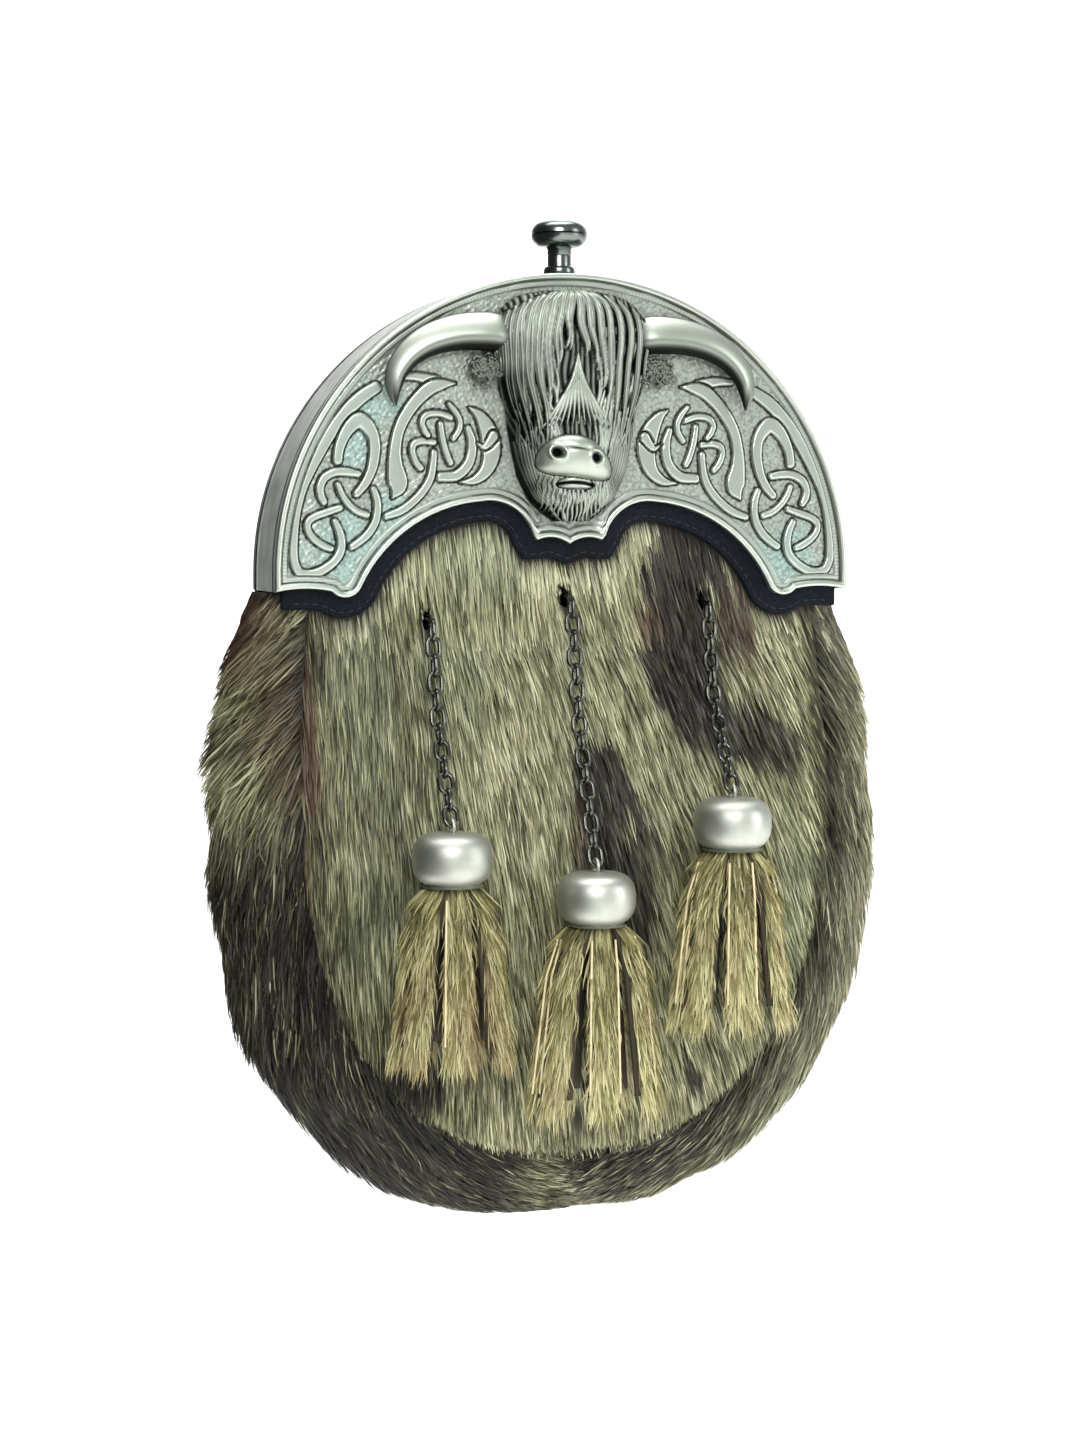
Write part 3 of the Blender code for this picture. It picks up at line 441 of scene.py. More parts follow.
class Shading:
    """A material's node tree under construction, with its Principled shader."""

    def __init__(self, name: str) -> None:
        """Starts a material that holds only a Principled shader."""
        self.material = bpy.data.materials.new(name)
        self.material.use_nodes = True
        self.tree = self.material.node_tree
        self.shader = self.tree.nodes["Principled BSDF"]

    def add(self, kind: str, links: dict | None = None, **settings: object) -> bpy.types.Node:
        """Adds a node.

        Args:
            kind: The node's type without its ShaderNode prefix.
            links: Inputs by name or number, each a socket to link or a value to set.
            settings: Properties of the node itself.

        Returns:
            The node.
        """
        made = self.tree.nodes.new("ShaderNode" + kind)
        for key, value in settings.items():
            setattr(made, key, value)
        for key, value in (links or {}).items():
            if isinstance(value, Socket):
                self.tree.links.new(value, made.inputs[key])
            else:
                made.inputs[key].default_value = value
        return made

    def blend(self, share: object, first: object, second: object, way: str = "MIX") -> Socket:
        """A colour between two colours by a share."""
        made = self.add("Mix", {0: share, 6: first, 7: second}, data_type="RGBA", blend_type=way)
        return made.outputs[2]

    def maths(self, way: str, first: object, second: object = 0.0) -> Socket:
        """The result of one sum on two numbers, held between 0 and 1."""
        return self.add("Math", {0: first, 1: second}, operation=way, use_clamp=True).outputs[0]

    def ramp(self, value: object, low: float, high: float) -> Socket:
        """A number stretched so that low becomes 0 and high becomes 1."""
        return self.add("MapRange", {0: value, 1: low, 2: high}).outputs[0]

    def value_of(self, name: str) -> Socket:
        """A number that the mesh carries at each vertex."""
        return self.add("Attribute", attribute_name=name).outputs["Fac"]

    def place(self) -> Socket:
        """The object coordinates."""
        return self.add("TexCoord").outputs["Object"]

    def noise(self, size_mm: float, detail: float = 3.0, place: object = None) -> Socket:
        """Cloudy noise with features of a real size."""
        links = {"Vector": place or self.place(), "Scale": per_metre(size_mm), "Detail": detail}
        return self.add("TexNoise", links).outputs["Fac"]

    def cells(self, size_mm: float, feature: str = "F1") -> Socket:
        """Distance in a field of cells of a real size."""
        links = {"Vector": self.place(), "Scale": per_metre(size_mm)}
        return self.add("TexVoronoi", links, feature=feature).outputs["Distance"]

    def bump(self, height: object, depth_mm: float, strength: float = 1.0, under: object = None) -> None:
        """Gives the surface a bump of a real depth."""
        links = {"Height": height, "Distance": depth_mm * MM, "Strength": strength}
        made = self.add("Bump", links)
        if under is not None:
            self.tree.links.new(under, made.inputs["Normal"])
        self.tree.links.new(made.outputs[0], self.shader.inputs["Normal"])

    def use(self, **inputs: object) -> Material:
        """Fills the shader's inputs, given with underscores for spaces, and returns the material."""
        for key, value in inputs.items():
            socket = self.shader.inputs[key.replace("_", " ")]
            if isinstance(value, Socket):
                self.tree.links.new(value, socket)
            else:
                socket.default_value = value
        return self.material


# Finishes


@dataclass(frozen=True)
class CastPewter:
    """Die-cast pewter, blackened and wiped back: pale on the raised work, dark in the recesses, pebbled ground."""

    name: str = "cast_antique_pewter"
    pale: str = "#C6CDC2"
    shadow: str = "#2A2E2B"
    aqua: str = "#BFE0D8"
    pebble_mm: float = 0.75
    roughness: float = 0.36
    ground_film: float = 0.16

    def material(self) -> Material:
        """Reads the mesh's patina with its painted shade, and its ground and aqua values."""
        made = Shading(self.name)
        patina_and_shade, ground, aqua = made.value_of("patina_and_shade"), made.value_of("ground"), made.value_of("aqua")
        pebble = made.ramp(made.cells(self.pebble_mm, "SMOOTH_F1"), 0.15, 0.6)
        grain = made.noise(0.35, 2.0)
        cloud = made.ramp(made.noise(14.0, 2.0), 0.35, 0.7)
        pits = made.maths("MULTIPLY", made.maths("MULTIPLY", pebble, pebble), ground)
        base = made.maths("MULTIPLY", ground, self.ground_film)
        dark = made.maths("ADD", made.maths("ADD", made.maths("MULTIPLY", pits, 0.36), base), patina_and_shade)
        metal = made.blend(made.maths("MULTIPLY", aqua, 0.75), linear(self.pale), linear(self.aqua))
        metal = made.blend(made.maths("MULTIPLY", cloud, 0.10), metal, linear("#9AA39A"))
        colour = made.blend(dark, metal, linear(self.shadow))
        rough = made.add("MapRange", {0: dark, 3: self.roughness, 4: 0.62}).outputs[0]
        height = made.maths("SUBTRACT", made.maths("MULTIPLY", grain, 0.18), made.maths("MULTIPLY", pebble, ground))
        made.bump(height, 0.16)
        return made.use(Base_Color=colour, Metallic=1.0, Roughness=rough)


@dataclass(frozen=True)
class SpunPewter:
    """Pewter with a satin or polished skin, with fine polishing lines and a soft film of tarnish."""

    name: str
    colour: str
    tarnish: str
    roughness: float
    film: float = 0.25

    def material(self) -> Material:
        """Tarnish in clouds, with a darker film of patina and painted shade where the mesh says so."""
        made = Shading(self.name)
        cloud = made.ramp(made.noise(6.0, 4.0), 0.42, 0.75)
        worn = made.maths("ADD", made.maths("MULTIPLY", cloud, self.film), made.value_of("patina_and_shade"))
        colour = made.blend(worn, linear(self.colour), linear(self.tarnish))
        rough = made.add("MapRange", {0: cloud, 3: self.roughness, 4: self.roughness + 0.1}).outputs[0]
        made.bump(made.noise(0.3, 2.0), 0.01)
        return made.use(Base_Color=colour, Metallic=1.0, Roughness=rough)


@dataclass(frozen=True)
class GrainLeather:
    """Chrome-tanned cowhide with a pressed pebble grain and a waxy finish that catches light on the grain."""

    name: str
    colour: str
    crease: str
    grain_mm: float
    roughness: float = 0.42

    def material(self) -> Material:
        """Pebbled cells with creases between them."""
        made = Shading(self.name)
        cell = made.ramp(made.cells(self.grain_mm, "DISTANCE_TO_EDGE"), 0.0, 0.16)
        cloud = made.noise(9.0, 3.0)
        colour = made.blend(cell, linear(self.crease), linear(self.colour))
        colour = made.blend(made.ramp(cloud, 0.4, 0.8), colour, linear(self.crease))
        span = {3: self.roughness - 0.08, 4: self.roughness + 0.14}
        rough = made.add("MapRange", {0: made.noise(2.0)} | span).outputs[0]
        made.bump(made.maths("ADD", cell, made.maths("MULTIPLY", made.noise(0.4), 0.3)), 0.14)
        return made.use(Base_Color=colour, Roughness=rough, Specular_IOR_Level=0.18)


@dataclass(frozen=True)
class RawHide:
    """The skin of a fur hide, seen between the hairs and where a strip is cut."""

    name: str = "hide_under_fur"
    pale: str = "#4C4634"
    dark: str = "#1B1512"
    mottle: str = "#332E22"

    def material(self) -> Material:
        """Cloudy skin, darker under the dark coat."""
        made = Shading(self.name)
        mottle = made.blend(made.ramp(made.noise(3.0), 0.3, 0.7), linear(self.pale), linear(self.mottle))
        colour = made.blend(made.value_of("dark_coat"), mottle, linear(self.dark))
        made.bump(made.noise(0.6), 0.1)
        return made.use(Base_Color=colour, Roughness=0.8)


@dataclass(frozen=True)
class AnimalHair:
    """Short guard hair: dull and dark at the root, partly its own colour and partly painted shade deep in the coat,
    pale and slightly glossy at the tip with a painted sheen there too.
    """

    name: str
    root: str
    middle: str
    tip: str
    dark: str
    dark_tip: str
    brown: str
    sage: str
    # Near-black colour of the dark roots, which is also painted shade deep in the coat, and how strongly it covers
    # the root end
    dark_root_and_shade: str = "#12100A"
    root_shade: float = 0.8
    # Pale colour of a painted sheen on the tips, and how strongly it is laid on
    painted_tip_sheen: str = "#F4EED0"
    tip_light: float = 0.3

    def material(self) -> Material:
        """Reads each hair's own values: place along it, shade, dark coat, brown and sage."""
        made = Shading(self.name)
        along, shade = made.value_of("along"), made.value_of("shade")
        light = made.blend(made.ramp(shade, 0.18, 0.55), linear(self.root), linear(self.middle))
        light = made.blend(made.ramp(shade, 0.55, 0.95), light, linear(self.tip))
        light = made.blend(made.value_of("sage"), light, linear(self.sage))
        light = made.blend(made.maths("MULTIPLY", made.value_of("brown"), 0.8), light, linear(self.brown))
        deep = made.blend(made.ramp(shade, 0.35, 1.0), linear(self.dark), linear(self.dark_tip))
        colour = made.blend(made.value_of("dark_coat"), light, deep)
        # Painted shade: the root end darkens towards near black, partly the hair's own dark root and partly the
        # shade deep in the coat
        at_root = made.maths("MULTIPLY", made.ramp(along, 0.5, 0.0), self.root_shade)
        colour = made.blend(at_root, colour, linear(self.dark_root_and_shade))
        # Painted sheen: the tip end is lightened with a pale soft-light colour
        at_tip = made.maths("MULTIPLY", made.ramp(along, 0.5, 1.0), self.tip_light)
        colour = made.blend(at_tip, colour, linear(self.painted_tip_sheen), "SOFT_LIGHT")
        return made.use(Base_Color=colour, Roughness=0.46, Specular_IOR_Level=0.35)


@dataclass(frozen=True)
class WaxedThread:
    """Waxed linen thread, laid in a twist."""

    name: str = "waxed_thread"
    colour: str = "#9A927E"
    shadow: str = "#4A4438"

    def material(self) -> Material:
        """A fine twist in bump and shade."""
        made = Shading(self.name)
        twist = made.noise(0.25, 1.0)
        colour = made.blend(twist, linear(self.colour), linear(self.shadow))
        made.bump(twist, 0.05)
        return made.use(Base_Color=colour, Roughness=0.6)


@dataclass(frozen=True)
class StudioPaper:
    """Matt white background paper."""

    name: str = "white_background_paper"
    colour: str = "#FBFBFA"

    def material(self) -> Material:
        """Almost plain."""
        made = Shading(self.name)
        glow = linear(self.colour)
        return made.use(Base_Color=glow, Roughness=0.9, Emission_Color=glow, Emission_Strength=0.3)


# The form that the pieces share


@dataclass
class PouchForm:
    """Outline and depths of the pouch, worked out from the frame."""

    seat_gap: float = 0.3 * MM
    hide: float = 2.0 * MM
    apron_margin: float = 5.3 * MM
    widest_drop: float = 55.0 * MM
    border_side: float = 13.5 * MM
    border_bottom: float = 9.5 * MM
    border_top: float = 10.0 * MM
    outline_power: float = 2.35
    widest_share: float = 0.4
    edge_depth: float = 31.0 * MM
    belly_rise: float = 7.0 * MM
    gusset_bulge: float = 4.0 * MM
    side_padding: float = 3.6 * MM
    corner_padding: float = 4.4 * MM
    foot_padding: float = 3.0 * MM
    rim_height: float = 1.2 * MM

    def __post_init__(self) -> None:
        """Reads the sizes that the frame gives."""
        plate, back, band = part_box("cantle_plate"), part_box("back_panel"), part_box("cantle_band")
        self.radius = plate[1].x
        self.chart = self.radius / 100
        self.half_width = back[1].x
        self.drop = -back[0].z
        self.band_front, self.band_back = band[0].y, band[1].y
        self.plate_back = plate[1].y
        self.ground = plate[0].y + self.rim_height
        self.head_back = self.ground - self.seat_gap
        self.leg_drop = -band[0].z
        self.panel_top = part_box("leather_apron")[1].y + self.seat_gap
        self.belly_top = -self.leg_drop - self.apron_margin - 2.0 * MM
        self.lower_edge = self.plate_lower_edge()
        edge = self.offset(self.lower_edge, self.apron_margin)
        inside = self.radius - 3.0 * MM
        self.apron_edge = edge[np.abs(edge[:, 0]) < inside]

    def plate_lower_edge(self) -> Points:
        """The plate's scalloped lower edge from left to right."""
        arcs = (
            ((100.0, -5.3), (90.3, -4.2), (81.2, -5.1)),
            ((81.2, -5.1), (74.8, -6.8), (71.4, -3.4)),
            ((71.4, -3.4), (54.0, 16.4), (30.5, 24.4)),
            ((30.5, 24.4), (18.4, 21.6), (12.1, 11.2)),
            ((12.1, 11.2), (6.0, 12.5), (0.0, 10.3)),
        )
        right = []
        for start, middle, end in arcs:
            right += self.arc(start, middle, end)
        right = np.array(right + [arcs[-1][2]])
        left = right[-2::-1] * (-1, 1)
        return np.vstack([right, left])[::-1] * self.chart

    @staticmethod
    def arc(start: tuple[float, float], middle: tuple[float, float], end: tuple[float, float]) -> list:
        """Points on the arc through three points, without the last one."""
        a, b, c = (complex(*point) for point in (start, middle, end))
        w = (c - a) / (b - a)
        centre = a + (b - a) * (w - abs(w) ** 2) / (w - w.conjugate())
        first = math.atan2((a - centre).imag, (a - centre).real)
        half = math.remainder(math.atan2((b - centre).imag, (b - centre).real) - first, math.tau)
        rest = math.remainder(math.atan2((c - centre).imag, (c - centre).real) - first - half, math.tau)
        steps = max(4, math.ceil(abs(half + rest) / math.radians(4)))
        turns = [first + (half + rest) * i / steps for i in range(steps)]
        radius = abs(a - centre)
        return [(centre.real + radius * math.cos(turn), centre.imag + radius * math.sin(turn)) for turn in turns]

    @staticmethod
    def offset(line: Points, distance: float) -> Points:
        """A line moved downwards by distance, without the stretches that would fold over."""
        step = np.diff(line, axis=0)
        normal = unit(np.stack([step[:, 1], -step[:, 0]], 1))
        joined = unit(np.vstack([normal[:1], normal[:-1] + normal[1:], normal[-1:]]))
        moved = line + joined * distance
        far = near_line(moved, line)[0]
        return moved[far > 0.985 * distance]

    def upper_edge(self, x: Points) -> Points:
        """Height of the cantle's arc at each x."""
        return np.sqrt(np.maximum(self.radius**2 - x**2, 0.0))

    def apron_z(self, x: Points) -> Points:
        """Height of the apron's lower edge at each x."""
        return np.interp(x, self.apron_edge[:, 0], self.apron_edge[:, 1])

    def station(self, share: Points, inset: float, drop: float, top: float) -> tuple[Points, Points]:
        """Points of an outline from share 0 at its top right to share 1 at its bottom middle."""
        half = self.half_width - inset
        start = self.leg_drop + self.seat_gap
        down = np.clip(share / self.widest_share, 0, 1)
        turn = math.pi / 2 * np.clip((share - self.widest_share) / (1 - self.widest_share), 0, 1)
        power = 2 / self.outline_power
        across = np.maximum(np.cos(turn), 0) ** power
        x = np.where(share < self.widest_share, half - (half - top) * (1 - down) ** 2, half * across)
        low = -self.widest_drop - (drop - self.widest_drop) * np.sin(turn) ** power
        z = np.where(share < self.widest_share, -start - (self.widest_drop - start) * down, low)
        return x, z

    def back_station(self, share: Points) -> tuple[Points, Points]:
        """Points of the back's outline."""
        return self.station(share, 0.0, self.drop, self.radius)

    def front_station(self, share: Points) -> tuple[Points, Points]:
        """Points of the front panel's seam."""
        return self.station(share, self.border_side, self.drop - self.border_bottom, self.radius - self.border_top)

    def panel_half_width(self, z: Points) -> Points:
        """Half width of the front panel at each height."""
        x, depth = self.front_station(np.linspace(0, 1, 200))
        return np.interp(-np.asarray(z), -depth, x)

    def edge_y(self, z: Points) -> Points:
        """Depth of the front panel's seam."""
        down = smooth((self.belly_top - z) / (1.2 * self.widest_drop))
        return self.panel_top + (-self.edge_depth - self.panel_top) * down

    def panel_y(self, x: Points, z: Points) -> Points:
        """Depth of the hide's face at points of the front panel."""
        across = 1 - np.clip(np.abs(x) / self.panel_half_width(z), 0, 1) ** 2.4
        down = np.clip((self.belly_top - z) / (self.belly_top + self.drop - self.border_bottom), 0, 1)
        rise = np.sin(math.pi * down**0.9) ** 0.8 * smooth(down / 0.1)
        return self.edge_y(z) - self.belly_rise * across * rise

    def panel_point(self, x: Points, z: Points) -> Points:
        """Points on the hide's face."""
        return np.stack([x, self.panel_y(x, z), z], -1)

    def gusset_point(self, share: Points, across: Points, side: Points) -> Points:
        """Points on the outside of the gusset's hide.

        Args:
            share: Place round the half outline, 0 at the top and 1 at the bottom middle.
            across: 0 at the front seam and 1 at the back.
            side: -1 for the left half and 1 for the right half.

        Returns:
            The points.
        """
        front_x, front_z = self.front_station(share)
        back_x, back_z = self.back_station(share)
        front_y = self.edge_y(front_z) + 0.6 * MM
        apart = unit(np.stack([back_x - front_x, back_z - front_z], -1))
        right, left = smooth(share / 0.3), 1.15 * smooth((share - 0.14) / 0.26)
        padded = self.side_padding * np.where(side > 0, right, left)
        padded = padded + self.corner_padding * np.exp(-(((share - 0.62) / 0.17) ** 2))
        padded = padded + self.foot_padding * smooth((share - 0.68) / 0.16)
        bulge = (self.gusset_bulge + self.hide + padded) * np.sin(math.pi * np.clip(across, 0, 1)) ** 0.8
        x = front_x + (back_x - front_x) * across + apart[..., 0] * bulge
        z = front_z + (back_z - front_z) * across + apart[..., 1] * bulge
        y = front_y + (self.band_back - front_y) * across
        return np.stack([side * x, y, np.minimum(z, -self.leg_drop - self.seat_gap)], -1)


# Cantle


@dataclass
class CantlePlate:
    """The cast front plate: rounded rim, beaded border, pebbled ground and raised interlaced strands."""

    form: PouchForm
    columns: int = 500
    rows: int = 186
    rim_width: float = 1.7 * MM
    border_width: float = 1.5 * MM
    bead_pitch: float = 0.95 * MM
    border_height: float = 0.34 * MM
    strand_height: float = 1.0 * MM
    strand_edge: float = 0.36 * MM
    groove_gap: float = 0.08 * MM
    line_width: float = 0.26 * MM
    pebble_height: float = 0.07 * MM
    pebble_size: float = 0.5 * MM
    # Strands, lowest first: rows of X, Z and half width in hundredths of the cantle's radius
    strands: tuple = (
        ((57.4, 64.8, 0.9), (52.0, 65.0, 1.5), (46.0, 63.6, 2.0)),
        ((39.2, 63.1, 0.3), (43.8, 62.8, 1.7), (47.9, 61.5, 2.2), (52.0, 58.0, 2.1), (55.7, 53.4, 2.0),
         (58.6, 47.8, 1.9), (59.9, 41.7, 2.0), (60.0, 36.2, 2.5), (59.3, 31.6, 3.2), (59.3, 28.6, 2.7),
         (60.9, 25.4, 0.5)),
        ((34.8, 55.2, 0.4), (31.6, 53.0, 1.7), (28.8, 48.6, 2.8), (27.2, 43.6, 3.2), (27.4, 38.6, 2.8),
         (29.4, 34.2, 2.1), (33.2, 31.3, 1.4), (38.2, 30.6, 0.3)),
        ((66.4, 61.3, 1.9), (70.4, 58.7, 2.1), (74.3, 55.3, 2.1), (78.2, 50.9, 2.0), (81.6, 46.1, 1.9),
         (85.0, 40.3, 1.8), (88.4, 34.0, 1.7), (91.0, 28.2, 1.6), (92.8, 21.9, 1.6), (93.6, 15.6, 1.5),
         (94.0, 9.7, 1.5), (93.8, 4.9, 1.5), (92.4, 1.6, 1.5), (89.8, 0.5, 1.5), (86.6, 0.9, 1.5), (83.4, 2.4, 1.5),
         (80.4, 4.8, 1.5), (78.4, 8.0, 1.5), (78.1, 11.4, 1.5), (78.9, 14.8, 1.4), (80.2, 17.6, 1.2)),
        ((79.2, 37.6, 1.6), (78.6, 41.7, 1.7), (76.7, 46.1, 1.9), (74.3, 49.2, 2.2), (71.7, 50.6, 2.5),
         (69.2, 48.8, 2.3), (67.3, 45.4, 2.0), (66.8, 41.2, 1.9), (67.3, 36.9, 1.8), (68.5, 33.0, 1.6),
         (70.4, 29.6, 1.5), (72.9, 26.7, 1.3)),
        ((72.4, 33.2, 1.2), (76.3, 33.8, 1.4), (80.1, 33.7, 1.4), (83.4, 32.0, 1.4), (85.0, 29.1, 1.4),
         (84.9, 26.2, 1.4), (83.8, 24.0, 1.2)),
        ((78.4, 22.1, 1.1), (83.0, 20.6, 1.25), (87.1, 19.1, 1.25), (89.2, 17.2, 1.25), (89.0, 14.5, 1.25),
         (87.0, 11.9, 1.25), (84.0, 9.8, 1.25), (81.6, 8.8, 1.1)),
        ((79.2, 29.6, 1.1), (77.7, 26.2, 1.2), (75.3, 23.1, 1.2), (72.4, 20.9, 1.2), (69.4, 19.8, 1.1)),
        ((67.3, 28.2, 1.2), (66.2, 24.8, 1.4), (66.0, 20.9, 1.4), (67.0, 17.0, 1.4), (69.2, 13.6, 1.4),
         (71.9, 11.2, 1.35), (74.6, 9.4, 1.2)),
        ((44.8, 32.3, 1.5), (38.9, 33.0, 1.7), (34.8, 37.4, 1.7), (33.9, 43.4, 1.6), (35.2, 48.3, 1.2)),
        ((62.9, 19.4, 1.2), (58.3, 21.1, 1.4), (54.4, 23.8, 1.4), (50.6, 27.7, 1.4), (48.1, 32.0, 1.4),
         (47.2, 36.4, 1.3), (46.9, 40.3, 1.2)),
        ((46.9, 43.7, 1.1), (50.6, 44.1, 1.2), (53.5, 43.2, 1.2), (54.2, 40.6, 1.2), (53.1, 37.4, 1.2),
         (51.3, 35.2, 1.1)),
        ((44.6, 49.7, 1.1), (44.2, 46.1, 1.2), (43.3, 42.2, 1.2), (42.1, 38.8, 1.2), (41.2, 37.0, 1.1)),
        ((40.9, 51.9, 1.1), (45.2, 53.2, 1.15), (49.4, 52.6, 1.15), (50.9, 50.1, 1.15), (50.0, 47.5, 1.15),
         (48.8, 46.0, 1.0)),
        ((41.6, 56.3, 0.9), (39.5, 53.8, 1.1), (38.1, 50.9, 1.1), (38.3, 47.8, 1.1), (40.2, 45.0, 1.0)),
        ((26.4, 46.0, 1.8), (29.4, 42.4, 1.1), (32.0, 43.4, 0.3)),
    )
    # Patches of aqua tarnish: X, Z and radius in hundredths of the cantle's radius
    tarnish: tuple = (
        (-73.0, 43.0, 8.0), (-66.0, 55.0, 9.0), (-76.0, 8.0, 16.0), (-62.0, 19.0, 9.0), (78.0, 6.0, 12.0),
    )

    def flat_places(self, across: Points, up: Points) -> Points:
        """X and Z of the grid's vertices, closer on the strands and at the ends, further apart under the head."""
        shares = np.linspace(0, 1, 400)
        density = np.interp(shares, (0.0, 0.19, 0.26, 0.82, 0.94, 1.0), (0.3, 0.3, 1.0, 1.0, 1.3, 3.2))
        walked = np.concatenate([[0.0], np.cumsum((density[1:] + density[:-1]) / 2)])
        away = 2 * across - 1
        x = np.sign(away) * self.form.radius * np.interp(np.abs(away), walked / walked[-1], shares)
        eased = 0.7 * up + 0.3 * (0.5 - 0.5 * np.cos(math.pi * up))
        low = np.interp(x, self.form.lower_edge[:, 0], self.form.lower_edge[:, 1])
        return np.stack([x, low + (self.form.upper_edge(x) - low) * eased], 1)

    def edge_distance(self, places: Points) -> Points:
        """Distance of each place to the plate's nearest edge."""
        x, z = places.T
        round_edge = self.form.radius - np.where(z > 0, np.hypot(x, z), np.abs(x))
        return np.minimum(round_edge, near_line(places, self.form.lower_edge)[0])

    def border(self, places: Points, far: Points) -> tuple[Points, Points]:
        """Height and patina of the rim, the beaded border and the line inside it."""
        share = np.clip(far / self.rim_width, 0, 1)
        rim = self.form.rim_height * np.sqrt(np.clip(1 - (2 * share - 0.8) ** 2 / 1.44, 0, 1))
        inner = self.rim_width + self.border_width
        turn = np.arctan2(places[:, 1], places[:, 0]) * self.form.radius
        bead = 0.5 + 0.5 * np.cos(math.tau * turn / self.bead_pitch)
        on_border = smooth((far - self.rim_width) / (0.2 * MM)) * smooth((inner - far) / (0.25 * MM))
        flat = self.border_height * on_border * (0.75 + 0.25 * bead)
        lines = np.exp(-(((far - self.rim_width) / self.line_width) ** 2))
        lines += 0.8 * np.exp(-(((far - inner) / self.line_width) ** 2))
        patina_and_shade = np.clip(0.62 * lines + 0.28 * on_border * (1 - bead), 0, 1)
        return np.where(far < self.rim_width, rim, flat), patina_and_shade

    def strand_relief(self, places: Points) -> tuple[Points, Points]:
        """Height and patina of the interlaced strands, each of which cuts a groove into those below it."""
        height, patina_and_shade = np.zeros(len(places)), np.zeros(len(places))
        reach = 3 * self.line_width
        for side in Side:
            for rows in self.strands:
                table = spline(rows, 8) * self.form.chart
                line = table[:, :2] * (side.value, 1)
                limit = table[:, 2].max() + reach
                low, high = line.min(0) - limit, line.max(0) + limit
                close = np.flatnonzero(((places > low) & (places < high)).all(1))
                far, _, along = near_line(places[close], line)
                half = 1.1 * np.interp(along, np.arange(len(line)), table[:, 2])
                groove = np.exp(-(((far - half - self.groove_gap) / self.line_width) ** 2))
                covered = far < half
                top = smooth((half - far) / self.strand_edge)
                crown = 0.88 + 0.12 * np.sqrt(np.clip(1 - (far / np.maximum(half, 1e-6)) ** 2, 0, 1))
                height[close] = np.where(covered, self.strand_height * top * crown, height[close] * (1 - groove))
                patina_and_shade[close] = np.where(covered, 0.8 * groove, np.maximum(patina_and_shade[close], groove))
        return height, patina_and_shade

    def build(self, finish: Material) -> None:
        """Makes the relief and closes it behind."""
        bm, across, up = grid_mesh(self.columns, self.rows)
        places = self.flat_places(across, up)
        far = self.edge_distance(places)
        edge_height, edge_patina = self.border(places, far)
        height, patina_and_shade = self.strand_relief(places)
        inside = smooth((far - self.rim_width - self.border_width) / (0.3 * MM))
        pebble = self.pebble_height * value_noise(places, self.pebble_size, 3) * inside * (height < 0.2 * MM)
        height = np.maximum(edge_height, height * inside) + pebble
        y = self.form.ground - height
        place_vertices(bm, np.stack([places[:, 0], y, places[:, 1]], 1))
        close_behind(bm, self.form.plate_back)
        plate = from_bmesh(bm, "plate_relief", finish, 80)
        ground = inside * smooth((0.35 * MM - height) / (0.3 * MM))
        set_values(plate.data, "patina_and_shade", np.clip(np.maximum(edge_patina, patina_and_shade * inside), 0, 1))
        set_values(plate.data, "ground", ground)
        aqua = np.zeros(len(places))
        for x, z, radius in self.tarnish:
            near = np.hypot(*(places / self.form.chart - (x, z)).T) / radius
            aqua = np.maximum(aqua, smooth(1.3 - near + 0.35 * value_noise(places, 4 * MM, 8)))
        set_values(plate.data, "aqua", aqua * (0.35 + 0.65 * ground))
        finish_piece(plate, replaced=("cantle_plate",))


